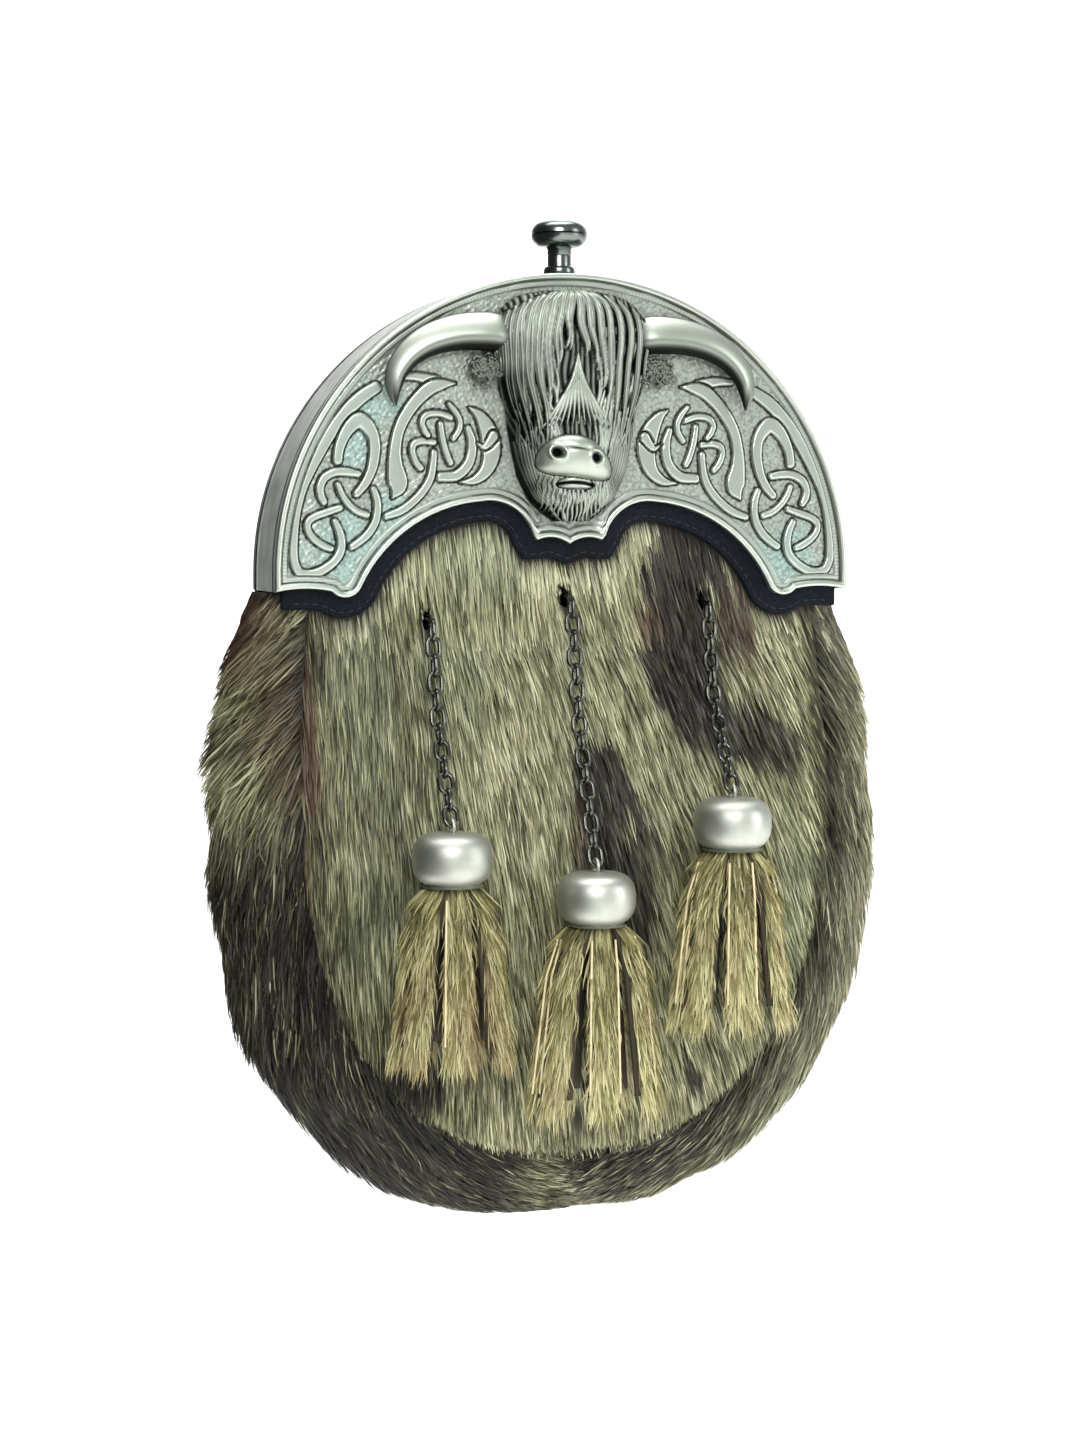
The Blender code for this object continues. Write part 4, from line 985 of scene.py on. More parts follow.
@dataclass
class CowHead:
    """The head casting: shaggy locks over a domed head, a broad muzzle, curled ears and ridged horns."""

    form: PouchForm
    relief: float = 6.4 * MM
    base: float = 0.8 * MM
    columns: int = 230
    rows: int = 310
    lock_height: float = 1.25 * MM
    # Top to chin: height and half width in hundredths of the cantle's radius, and share of the relief
    outline: tuple = (
        (94.0, 10.0, 0.30), (92.3, 17.8, 0.62), (88.6, 23.6, 0.84), (83.5, 26.4, 0.95), (76.6, 27.3, 1.00),
        (66.2, 25.8, 0.92), (55.8, 23.2, 0.88), (45.5, 21.2, 0.96), (35.1, 19.2, 0.92), (26.6, 15.6, 0.78),
        (21.4, 11.2, 0.55), (17.8, 6.4, 0.32),
    )
    # Horn of one side: X, Z and radius in hundredths of the cantle's radius, and share of the relief
    horn: tuple = (
        (21.0, 79.0, 5.0, 0.20), (25.0, 79.6, 6.1, 0.38), (30.5, 80.1, 6.4, 0.42), (39.6, 79.5, 6.0, 0.40),
        (48.7, 76.9, 5.3, 0.42), (55.6, 72.5, 4.5, 0.45), (60.0, 66.8, 3.8, 0.50), (61.4, 61.0, 2.7, 0.55),
        (60.9, 55.3, 0.5, 0.60),
    )
    horn_sides: int = 40
    # Where the curls of one ear grow: X, Z and radius in hundredths of the cantle's radius
    ear: tuple = ((25.5, 68.4, 5.4), (28.5, 68.0, 5.2), (31.2, 67.6, 3.8), (33.6, 68.4, 2.2))
    ear_curls: int = 125
    curl_points: int = 9
    # Half width, middle height and half height of the muzzle; nostril's place and half sizes, in the same unit
    muzzle: tuple = (13.4, 39.3, 7.2)
    muzzle_rise: float = 3.6 * MM
    muzzle_droop: float = 3.6
    nostril: tuple = (6.7, 0.3, 2.0, 1.9)
    mouth_z: float = 30.6
    lip_rise: float = 1.9 * MM
    darkening: float = 1.35

    def outline_at(self, z: Points) -> tuple[Points, Points]:
        """Half width and share of relief at heights in chart units."""
        table = spline(self.outline, 10)[::-1]
        return np.interp(z, table[:, 0], table[:, 1]), np.interp(z, table[:, 0], table[:, 2])

    def locks(self) -> list[tuple[Points, float, float]]:
        """Each lock as rows of X, Z and half width, with its layer and its height."""
        rng = np.random.default_rng(5)
        steps = np.linspace(0, 1, 14)
        made = []

        def lock(x: Points, z: Points, half: float, layer: float, height: float) -> None:
            """Adds a lock that tapers to its end."""
            taper = np.sqrt(np.clip(1.02 - steps**2.2, 0, 1)) * np.clip(0.55 + 4 * steps, 0, 1)
            made.append((np.stack([x, z, half * taper], 1), layer, height))

        for side in Side:
            for layer, low, high, length, half in ((0.2, 50, 84, 26, 0.85), (0.4, 34, 62, 20, 0.78)):
                for i in range(20):
                    start = rng.uniform(low, high)
                    z = start - length * rng.uniform(0.8, 1.15) * steps
                    u = (0.30 + 0.68 * i / 19) * (1 - 0.08 * steps) + 0.025 * np.sin(math.tau * 1.6 * steps + i)
                    lock(side.value * u * self.outline_at(z)[0], z, half, layer, 0.8)
            for i in range(9):
                z = 44 - 20 * steps - 1.5 * rng.uniform()
                u = 0.60 + 0.38 * i / 8
                lock(side.value * (u * self.outline_at(z)[0] - 1.2 * steps), z, 0.85, 0.8, 0.8)
        for i in range(13):
            u = -1 + 2 * i / 12
            z = 73 - 6 * abs(u) - (23 - 3.5 * abs(u)) * steps
            lock(1.3 * u + 11.5 * u * steps**1.25, z, 0.95, 0.7, 0.9)
        for layer, count, half, shift in ((0.8, 16, 1.5, 0.0), (1.2, 15, 1.75, 0.5)):
            for i in range(count):
                u = -0.97 + 1.94 * (i + shift) / (count - 1 + shift)
                reach = 20 + 25 * float(smooth((abs(u) - 0.08) / 0.45))
                reach -= 12 * float(smooth((abs(u) - 0.75) / 0.25))
                z = 94.6 - 10.5 * abs(u) ** 2.6 - (reach + 1.6 * rng.normal()) * steps
                x = u * self.outline_at(z)[0]
                wave = 0.75 * np.sin(math.tau * (1.3 * steps + rng.uniform(0, 0.3) + 0.25 * u)) * steps**0.5
                lock(x + wave + np.sign(u) * 1.6 * steps**2 * (abs(u) < 0.4), z, half, layer, 1.0)
        for layer, start, length, count, reach in ((0.9, 27.5, 10.5, 17, 11.5), (1.3, 30.0, 7.5, 17, 13.5)):
            for i in range(count):
                u = -1 + 2 * (i + 0.5) / count
                z = start + 3.5 * abs(u) ** 2 - length * (1 - 0.2 * abs(u)) * steps + 0.5 * rng.normal()
                lock(u * reach * (1 + 0.06 * steps) + 0.25 * np.sin(9 * steps + i), z, 0.8, layer, 0.8)
        return made

    def lock_relief(self, places: Points) -> tuple[Points, Points]:
        """Height over the dome and patina of the locks, over a bed of fine hair."""
        x, z = places.T
        strand = 0.5 + 0.5 * np.cos(math.tau * (x / 1.9 + 0.35 * value_noise(places * (1, 0.3), 2.5, 14)))
        height = 0.32 * MM * strand
        patina_and_shade = 0.78 - 0.34 * strand
        for rows, layer, strength in sorted(self.locks(), key=lambda item: item[1]):
            table = spline(rows, 3)
            low, high = table[:, :2].min(0) - 2.4, table[:, :2].max(0) + 2.4
            close = np.flatnonzero(((places > low) & (places < high)).all(1))
            if not len(close):
                continue
            far, signed, along = near_line(places[close], table[:, :2])
            half = np.maximum(np.interp(along, np.arange(len(table)), table[:, 2]), 0.05)
            ridge = np.sqrt(np.clip(1 - (far / half) ** 2, 0, 1))
            furrow = np.cos(math.tau * signed / 0.8 + layer)
            rise = self.lock_height * (0.32 * layer + strength * ridge * (0.90 + 0.12 * furrow * (half > 0.9)))
            higher = (far < half) & (rise > height[close])
            height[close[higher]] = rise[higher]
            worn = 1.05 * (1 - ridge) ** 0.72 + 0.14 * (1 - furrow) * (half > 0.9) + 0.08
            patina_and_shade[close[higher]] = worn[higher]
        return height, np.clip(patina_and_shade, 0, 1)

    def muzzle_relief(self, places: Points) -> tuple[Points, Points, Points]:
        """Where the muzzle is, its height over the dome, and its patina."""
        half, middle, thick = self.muzzle
        x, z = places.T
        x = x + 1.1
        z = z + 0.12 * x
        bend = middle - self.muzzle_droop * (x / half) ** 2
        inside = 1 - np.abs(x / half) ** 3.2 - np.abs((z - bend) / (thick - 1.6 * (x / half) ** 2)) ** 2.3
        rise = self.muzzle_rise * np.clip(inside, 0, 1) ** 0.42
        patina_and_shade = 0.95 * np.exp(-((inside / 0.10) ** 2))
        apart, up, wide, tall = self.nostril
        for side in Side:
            pit = np.hypot((x - side.value * apart) / wide, (z - middle - up) / tall)
            rise = rise - 1.5 * MM * smooth(1.25 - pit) + 0.35 * MM * np.exp(-(((pit - 1.35) / 0.28) ** 2))
            patina_and_shade = np.maximum(patina_and_shade, 0.9 * smooth(1.35 - pit))
        crease = np.hypot(0.10 * x, z - middle - 2.6 + 0.012 * x**2)
        creased = np.abs(x) < 8.5
        rise = rise - 0.4 * MM * np.exp(-((crease / 0.5) ** 2)) * creased
        patina_and_shade = np.maximum(patina_and_shade, 0.75 * np.exp(-((crease / 0.45) ** 2)) * creased)
        return inside > 0, rise, np.clip(patina_and_shade, 0, 1)

    def mouth_relief(self, places: Points, height: Points, patina_and_shade: Points) -> tuple[Points, Points]:
        """The lips under the muzzle and the dark line between them."""
        x, z = places.T
        line = z - self.mouth_z + 0.02 * x**2 + 0.06 * x
        lips = 1 - np.abs((x + 0.8) / 6.6) ** 2 - (line / 2.5) ** 2
        on_lips = lips > 0
        gape = np.exp(-((line / 0.5) ** 2))
        height = np.where(on_lips, self.lip_rise * np.clip(lips, 0, 1) ** 0.5 - 1.2 * MM * gape, height)
        patina_and_shade = np.where(on_lips, np.clip(0.95 * gape + np.exp(-((lips / 0.18) ** 2)), 0, 1), patina_and_shade)
        return height, patina_and_shade

    def head(self) -> tuple[BMesh, Points]:
        """The head's relief as an open sheet, and its patina with painted shade."""
        bm, across, up = grid_mesh(self.columns, self.rows)
        top, chin = self.outline[0][0], self.outline[-1][0]
        z = chin + (top - chin) * (0.7 * up + 0.3 * (0.5 - 0.5 * np.cos(math.pi * up)))
        half, share = self.outline_at(z)
        ragged = 1 + 0.012 * value_noise(np.stack([z, np.sign(across - 0.5) * 30], 1), 4.0, 4)
        u = np.sin(math.pi / 2 * (2 * across - 1)) * 0.6 + 0.4 * (2 * across - 1)
        places = np.stack([u * half * ragged, z], 1)
        dome = np.sqrt(np.clip(1 - u**2, 0, 1)) ** 0.8
        height, patina_and_shade = self.lock_relief(places)
        # Painted shade on its left side; blacker with patina on the cheeks beside the muzzle and towards its edge
        patina_and_shade = np.clip(patina_and_shade + 0.18 * smooth(-u * 2 - 0.6) * smooth((72 - z) / 8), 0, 1)
        sooty = 0.5 + 0.5 * value_noise(places * (1, 0.5), 3.0, 6)
        cheeks = smooth((np.abs(places[:, 0]) - 6) / 6) * smooth((60 - z) / 14) * smooth((z - 24) / 6)
        patina_and_shade = np.clip(patina_and_shade + (0.03 + 0.24 * sooty) * cheeks, 0, 1)
        patina_and_shade = np.clip(patina_and_shade + 0.14 * smooth((np.abs(u) - 0.72) / 0.25) * smooth((70 - z) / 10), 0, 1)
        bridge = 1.2 * MM * np.exp(-((places[:, 0] / 8) ** 2)) * smooth((72 - z) / 20)
        height, patina_and_shade = self.mouth_relief(places, height, patina_and_shade)
        on_muzzle, rise, muzzle_patina = self.muzzle_relief(places)
        height = np.where(on_muzzle, rise, height)
        patina_and_shade = np.where(on_muzzle, muzzle_patina, patina_and_shade)
        edge = smooth((1 - np.abs(u)) / 0.05)
        y = self.form.head_back - self.base - self.relief * share * dome - bridge
        y -= height * (0.25 + 0.75 * edge) - 0.6 * MM
        x, z = places.T * self.form.chart
        place_vertices(bm, np.stack([x, y, z], 1))
        close_behind(bm, self.form.head_back)
        return bm, np.clip(self.darkening * patina_and_shade, 0, 1)

    def horns(self) -> JoinedMesh:
        """Both horns, each with a ridge along its front between a broad upper facet and a lower one."""
        joined = JoinedMesh()
        sides, back = self.horn_sides, self.form.head_back
        turn = np.arange(sides) / sides * math.tau
        a, b = np.cos(turn), np.sin(turn)
        crest = 0.95 * (1 - np.abs((a + 0.28) / np.where(a > -0.28, 1.28, 0.72)) ** 1.5)
        out = np.where(b > 0, np.maximum(crest, 0) ** 0.8, -0.45 * np.abs(b))
        for side in Side:
            table = spline(self.horn, 8)
            line = table[:, :2] * (side.value, 1) * self.form.chart
            ahead = unit(np.gradient(line, axis=0))
            upward = np.stack([-ahead[:, 1], ahead[:, 0]], 1) * side.value
            rings = []
            for (x, z), way, radius, share in zip(line, upward, table[:, 2] * self.form.chart, table[:, 3]):
                y = back - share * self.relief - out * radius * 0.9
                rings.append(np.stack([x + way[0] * a * radius, y, z + way[1] * a * radius], 1))
            k = np.arange(sides)
            faces = [tube_faces(len(rings), sides), np.stack([k[::-1], k + (len(rings) - 1) * sides])]
            if side is Side.RIGHT:
                faces = [group[:, ::-1] for group in faces]
            joined.add(np.vstack(rings), faces)
        return joined

    def ears(self) -> JoinedMesh:
        """Tight curls of hair that stand for the ears under the horns."""
        rng = np.random.default_rng(9)
        joined = JoinedMesh()
        steps = np.linspace(0, 1, self.curl_points)
        for side in Side:
            for _ in range(self.ear_curls):
                place = spline(self.ear, 4)[rng.integers(0, 12)]
                off = rng.normal(size=2) * 0.40 * place[2]
                middle = np.array([side.value * (place[0] + off[0]), 0, place[1] + off[1]]) * self.form.chart
                middle[1] = self.form.head_back - rng.uniform(1.4, 3.2) * MM
                start, sweep = rng.uniform(0, math.tau), rng.uniform(3.0, 5.4) * rng.choice((-1, 1))
                turn = start + sweep * steps
                size = rng.uniform(0.7, 1.4) * MM * np.linspace(1.0, 0.45, self.curl_points)
                line = middle + np.stack([np.cos(turn) * size, 0.3 * MM * np.sin(3 * turn), np.sin(turn) * size], 1)
                joined.add_tube(line, np.linspace(0.48, 0.22, self.curl_points) * MM, 6)
        return joined

    def build(self, finish: Material) -> None:
        """Makes the head, its horns and its ears."""
        bm, patina_and_shade = self.head()
        head = from_bmesh(bm, "head_relief", finish, 180)
        set_values(head.data, "patina_and_shade", patina_and_shade)
        finish_piece(head, replaced=("cow_head_mount",))
        horns = self.horns().piece("horn_pair", finish)
        co = vertex_places(horns)
        turn = np.tile(np.arange(self.horn_sides) / self.horn_sides * math.tau, len(co) // self.horn_sides)
        high = np.cos(turn)
        # Painted shade on the horns' lower facet and on the back half that faces the plate, with darker lines along
        # the ridge and the upper edge, and darker tips and roots
        film = 0.85 * smooth((-0.25 - high) / 0.5) + 0.50 * np.exp(-(((high + 0.27) / 0.07) ** 2))
        film = np.maximum(film, 0.70 * smooth((high - 0.86) / 0.12))
        tip = smooth((66 * self.form.chart - co[:, 2]) / (7 * MM)) * np.where(high < 0.2, 0.8, 0.35)
        root = 0.6 * smooth((27 * self.form.chart - np.abs(co[:, 0])) / (3 * MM))
        patina_and_shade = np.maximum(np.maximum(film, tip), root)
        set_values(horns.data, "patina_and_shade", np.where(np.sin(turn) < 0, 0.75, np.clip(patina_and_shade + 0.12, 0, 1)))
        finish_piece(horns)
        ears = self.ears().piece("ear_curls", finish)
        shade = smooth((vertex_places(ears)[:, 1] - self.form.ground + 2.6 * MM) / (1.6 * MM))
        set_values(ears.data, "patina_and_shade", 0.64 + 0.36 * shade)
        finish_piece(ears)


@dataclass
class CantleBand:
    """The arched side band, with a cove between it and the plate."""

    form: PouchForm
    thickness: float = 1.6 * MM
    cove: float = 1.9 * MM
    cove_depth: float = 0.7 * MM
    steps: int = 144
    knob_hole: float = 3.4 * MM

    def section(self) -> list[tuple[float, float]]:
        """Radius and depth round the band's section, from the front inside to the back inside."""
        outer, front, back = self.form.radius, self.form.band_front, self.form.band_back
        points = [(outer - self.thickness, front), (outer - self.cove_depth, front)]
        for i in range(9):
            turn = math.pi * i / 8
            points.append((outer - self.cove_depth * math.sin(turn) ** 0.8, front + 0.15 * MM + self.cove * i / 8))
        ridge = front + self.cove + 0.7 * MM
        points += [(outer, ridge), (outer - 0.08 * MM, ridge + 6 * MM), (outer - 0.08 * MM, back - 3 * MM)]
        points += [(outer - 0.05 * MM, back - 0.5 * MM), (outer - 0.5 * MM, back), (outer - self.thickness, back)]
        return points

    def build(self, finish: Material, knob_y: float) -> None:
        """Bends the section round the arch, adds the two legs and drills the hole for the knob."""
        bm = bmesh.new()
        ring = [bm.verts.new((radius, depth, 0.0)) for radius, depth in self.section()]
        edges = [bm.edges.new((ring[i - 1], ring[i])) for i in range(len(ring))]
        bmesh.ops.spin(bm, geom=ring + edges, cent=(0, 0, 0), axis=(0, -1, 0), angle=math.pi, steps=self.steps)
        feet = [edge for edge in bm.edges if edge.is_boundary]
        grown = bmesh.ops.extrude_edge_only(bm, edges=feet)["geom"]
        draw_out(bm, grown, (0.0, 0.0, -self.form.leg_drop))
        bmesh.ops.holes_fill(bm, edges=[edge for edge in bm.edges if edge.is_boundary], sides=0)
        outward(bm)
        band = from_bmesh(bm, "band_arch", finish, 50)
        cutter_bm = bmesh.new()
        bmesh.ops.create_cone(
            cutter_bm, cap_ends=True, segments=48, radius1=self.knob_hole, radius2=self.knob_hole, depth=8 * MM
        )
        bmesh.ops.translate(cutter_bm, verts=cutter_bm.verts[:], vec=(0.0, knob_y, self.form.radius))
        cut(band, from_bmesh(cutter_bm, "knob_drill", None))
        co = vertex_places(band)
        # Patina and painted shade darken the cove between the band and the plate
        in_cove = smooth((self.form.band_front + self.cove + 0.6 * MM - co[:, 1]) / (0.5 * MM))
        depth = smooth((self.form.radius - 0.15 * MM - np.hypot(co[:, 0], np.maximum(co[:, 2], 0))) / (0.4 * MM))
        set_values(band.data, "patina_and_shade", 0.8 * in_cove * np.clip(depth + 0.25, 0, 1))
        finish_piece(band, replaced=("cantle_band",))


def cut(target: Piece, cutter: Piece) -> None:
    """Takes the cutter's shape out of the target for good."""
    step = target.modifiers.new("cut", "BOOLEAN")
    step.operation = "DIFFERENCE"
    step.solver = "EXACT"
    step.object = cutter
    bpy.context.view_layer.update()
    shown = target.evaluated_get(bpy.context.evaluated_depsgraph_get())
    mesh = bpy.data.meshes.new_from_object(shown)
    target.modifiers.clear()
    target.data = mesh
    mesh.name = target.name
    bpy.data.objects.remove(cutter)


@dataclass
class PressKnob:
    """The mushroom knob on its stem, and the collar that it presses down through."""

    form: PouchForm
    stem: float = 3.1 * MM
    clearance: float = 0.3 * MM
    collar_height: float = 2.2 * MM
    collar_radius: float = 4.1 * MM
    stem_show: float = 5.0 * MM
    band_thickness: float = 1.6 * MM
    retainer: float = 4.4 * MM
    retainer_height: float = 1.5 * MM

    def __post_init__(self) -> None:
        """Reads the knob's place from the frame."""
        low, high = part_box("clasp_knob")
        self.radius = (high.x - low.x) / 2
        self.y = (low.y + high.y) / 2
        self.foot = Vector((0.0, self.y, self.form.radius))
        self.top = high.z - self.form.radius

    def build(self, finish: Material) -> None:
        """Turns both pieces."""
        gap = self.form.seat_gap
        under = gap + self.collar_height + self.stem_show
        height = self.top - under
        low = -self.band_thickness - gap
        profile = [(0.0, low - self.retainer_height), (self.retainer - 0.3 * MM, low - self.retainer_height)]
        profile += [(self.retainer, low - self.retainer_height + 0.3 * MM), (self.retainer, low), (self.stem, low)]
        profile += [(self.stem, under - 2.3 * MM), (self.stem - 0.12 * MM, under - 2.1 * MM)]
        profile += [(self.stem, under - 1.9 * MM), (self.stem, under - 0.6 * MM), (self.stem + 0.35 * MM, under)]
        flat = self.radius - 0.5 * height
        for i in range(13):
            turn = math.pi * (i / 12 - 0.5)
            out, up = math.cos(turn), math.sin(turn)
            if abs(turn) < 0.02:
                profile += [(self.radius, under + 0.47 * height), (self.radius - 0.22 * MM, under + 0.5 * height)]
                profile.append((self.radius, under + 0.53 * height))
                continue
            profile.append((flat + 0.5 * height * abs(out) ** 0.85, under + 0.5 * height * (1 + up)))
        profile += [(0.5 * flat, self.top), (0.0, self.top)]
        knob = from_bmesh(turned(profile, self.foot), "knob_turned", finish, 50)
        z = vertex_places(knob)[:, 2]
        line = np.exp(-(((z - self.form.radius - under - 0.5 * height) / (0.15 * MM)) ** 2))
        neck = smooth((self.form.radius + under + 0.9 * MM - z) / (1.0 * MM))
        neck *= smooth((z - self.form.radius - under + 1.2 * MM) / (0.8 * MM))
        set_values(knob.data, "patina_and_shade", np.clip(0.8 * line + 0.6 * neck, 0, 1))
        finish_piece(knob, Body.KNOB, ("clasp_knob",))
        bore = self.stem + self.clearance
        wide, tall = self.collar_radius, self.collar_height
        profile = [(bore, gap), (wide - 0.25 * MM, gap), (wide, gap + 0.25 * MM), (wide, gap + 0.4 * tall)]
        for i in range(1, 7):
            turn = math.pi / 2 * i / 6
            out = bore + 0.1 * MM + (wide - bore - 0.1 * MM) * math.cos(turn)
            profile.append((out, gap + tall * (0.4 + 0.6 * math.sin(turn))))
        profile += [(bore, gap + tall - 0.1 * MM), (bore, gap)]
        collar = from_bmesh(turned(profile, self.foot), "collar_turned", finish, 50)
        finish_piece(collar, replaced=("knob_collar",))


@dataclass
class BackArch:
    """The plain rear half of the frame, riveted through the leather."""

    form: PouchForm
    width: float = 7.5 * MM
    steps: int = 96
    rivets: int = 9
    rivet_radius: float = 1.7 * MM
    rivet_height: float = 0.7 * MM

    def build(self, finish: Material) -> None:
        """Makes the arch with softened edges, then its rivet heads."""
        low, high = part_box("back_arch")
        outer = high.x
        inner = outer - self.width
        turns = [math.pi * i / self.steps for i in range(self.steps + 1)]
        outline = [(outer * math.cos(t), outer * math.sin(t)) for t in turns]
        outline += [(-outer, low.z), (-inner, low.z)]
        outline += [(-inner * math.cos(t), inner * math.sin(t)) for t in turns]
        outline += [(inner, low.z), (outer, low.z)]
        bm = plate_between(outline, low.y, high.y)
        soften(bm, 0.35 * MM, 60)
        finish_piece(from_bmesh(bm, "rear_arch", finish, 40), replaced=("back_arch",))
        bm = bmesh.new()
        middle = (outer + inner) / 2
        for i in range(self.rivets):
            turn = math.pi * (i + 0.5) / self.rivets
            made = bmesh.ops.create_uvsphere(bm, u_segments=24, v_segments=12, radius=self.rivet_radius)["verts"]
            flat = Matrix.Diagonal((1.0, self.rivet_height / self.rivet_radius, 1.0, 1.0))
            place = Matrix.Translation((middle * math.cos(turn), high.y - 0.1 * MM, middle * math.sin(turn)))
            bmesh.ops.transform(bm, matrix=place @ flat, verts=made)
        finish_piece(from_bmesh(bm, "arch_rivets", finish, 60))


# Leather


def stitch_row(joined: JoinedMesh, line: Points, pitch: float, length: float, radius: float, up: Vector) -> None:
    """Adds a row of stitches along a line.

    Args:
        joined: Where the stitches go.
        line: The sewing line on the leather's surface.
        pitch: Distance between stitches.
        length: Length of one stitch.
        radius: Radius of the thread.
        up: The way out of the leather.
    """
    walked = walk_lengths(line)
    count = max(1, int(walked[-1] / pitch))
    for i in range(count):
        at = (i + 0.5) / count * walked[-1] + np.linspace(-0.5, 0.5, 5) * length
        path = np.stack([np.interp(at, walked, line[:, k]) for k in range(3)], 1)
        path += np.outer(np.array([-0.5, 0.35, 0.5, 0.35, -0.5]) * radius, np.array(up))
        joined.add_tube(path, radius * np.array([0.6, 1.0, 1.0, 1.0, 0.6]), 6)


@dataclass
class LeatherApron:
    """The leather behind the plate, with a rounded lower edge and a sewing line in its own colour."""

    form: PouchForm
    seam_inset: float = 1.5 * MM
    thread_radius: float = 0.16 * MM

    def build(self, finish: Material, thread: Material) -> None:
        """Makes the apron with a rounded edge and a sewing line."""
        low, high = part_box("leather_apron")
        radius = high.x
        edge = self.form.apron_edge
        lower = [(radius, edge[-1][1])] + [tuple(point) for point in edge[::-1]] + [(-radius, edge[0][1])]
        bm = plate_between(half_round(radius) + lower, low.y, high.y)
        soften(bm, 0.7 * MM, 60, 3)
        apron = from_bmesh(bm, "apron_leather_edge", finish, 50)
        finish_piece(apron, replaced=("leather_apron",))
        joined = JoinedMesh()
        sewn = self.form.offset(self.form.lower_edge, self.form.apron_margin - self.seam_inset)
        sewn = sewn[np.abs(sewn[:, 0]) < radius - 2 * MM]
        line = np.stack([sewn[:, 0], np.full(len(sewn), low.y), sewn[:, 1]], 1)
        stitch_row(joined, line, 2.4 * MM, 1.7 * MM, self.thread_radius, Vector((0, -1, 0)))
        finish_piece(joined.piece("apron_stitches", thread))


@dataclass
class LeatherBack:
    """The flat leather back with its two strap keepers."""

    form: PouchForm
    keeper_thickness: float = 2.0 * MM
    passage: float = 26.0 * MM
    foot: float = 6.0 * MM
    thread_radius: float = 0.32 * MM
    seam_inset: float = 3.2 * MM

    def back(self, finish: Material) -> None:
        """The back panel with rounded edges."""
        low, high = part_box("back_panel")
        x, z = self.form.back_station(np.linspace(0, 1, 90))
        right = list(zip(x, z))
        left = [(-a, b) for a, b in right[-2::-1]]
        bm = plate_between(half_round(self.form.radius) + right + left, low.y, high.y)
        soften(bm, 0.6 * MM, 60, 3)
        back = from_bmesh(bm, "back_leather_panel", finish, 40)
        finish_piece(back, replaced=("back_panel",))

    def keeper(self, node: str, finish: Material) -> None:
        """One keeper: a strip that rises from its two feet over the passage."""
        low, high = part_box(node)
        wall = self.keeper_thickness
        hole, end = self.passage / 2, self.passage / 2 + self.foot
        near, far = low.y, high.y - wall
        slope = 0.6 * wall
        inside = [(near, -end), (near, -hole), (far, slope - hole), (far, hole - slope), (near, hole), (near, end)]
        outside = [(near + wall, end), (near + wall, hole + slope), (far + wall, hole)]
        outside += [(y, -z) for y, z in outside[::-1]]
        bm = slab([(low.x, y, z) for y, z in inside + outside], (high.x - low.x, 0.0, 0.0))
        soften(bm, 0.5 * MM, 20, 3)
        finish_piece(from_bmesh(bm, node + "_leather", finish, 40), replaced=(node,))

    def stitches(self, thread: Material) -> None:
        """The saddle stitching round the back and on the keepers' feet."""
        joined = JoinedMesh()
        out = Vector((0, 1, 0))
        x, z = self.form.back_station(np.linspace(0.04, 1, 120))
        right = np.stack([x, z], 1)
        outline = np.vstack([right, right[-2::-1] * (-1, 1)])
        step = np.gradient(outline, axis=0)
        inward = unit(np.stack([-step[:, 1], step[:, 0]], 1))
        line = outline - inward * self.seam_inset * np.sign((inward * outline).sum(1).mean())
        path = np.stack([line[:, 0], np.zeros(len(line)), line[:, 1]], 1)
        stitch_row(joined, path, 3.4 * MM, 2.5 * MM, self.thread_radius, out)
        for node in KEEPERS:
            low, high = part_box(node)
            top, left, right = low.y + self.keeper_thickness, low.x + 2 * MM, high.x - 2 * MM
            for sign in (-1, 1):
                far = sign * (self.passage / 2 + self.foot - 1.5 * MM)
                near = sign * (self.passage / 2 + 2.6 * MM)
                corners = ((left, far), (right, far), (right, near), (left, near), (left, far))
                box = np.array([(x, top, z) for x, z in corners])
                for start, end in zip(box, box[1:]):
                    stitch_row(joined, np.stack([start, end]), 2.8 * MM, 2.0 * MM, self.thread_radius, out)
        finish_piece(joined.piece("back_stitches", thread))

    def build(self, finish: Material, thread: Material) -> None:
        """Makes the back, both keepers and their stitching."""
        self.back(finish)
        for node in KEEPERS:
            self.keeper(node, finish)
        self.stitches(thread)


# Fur


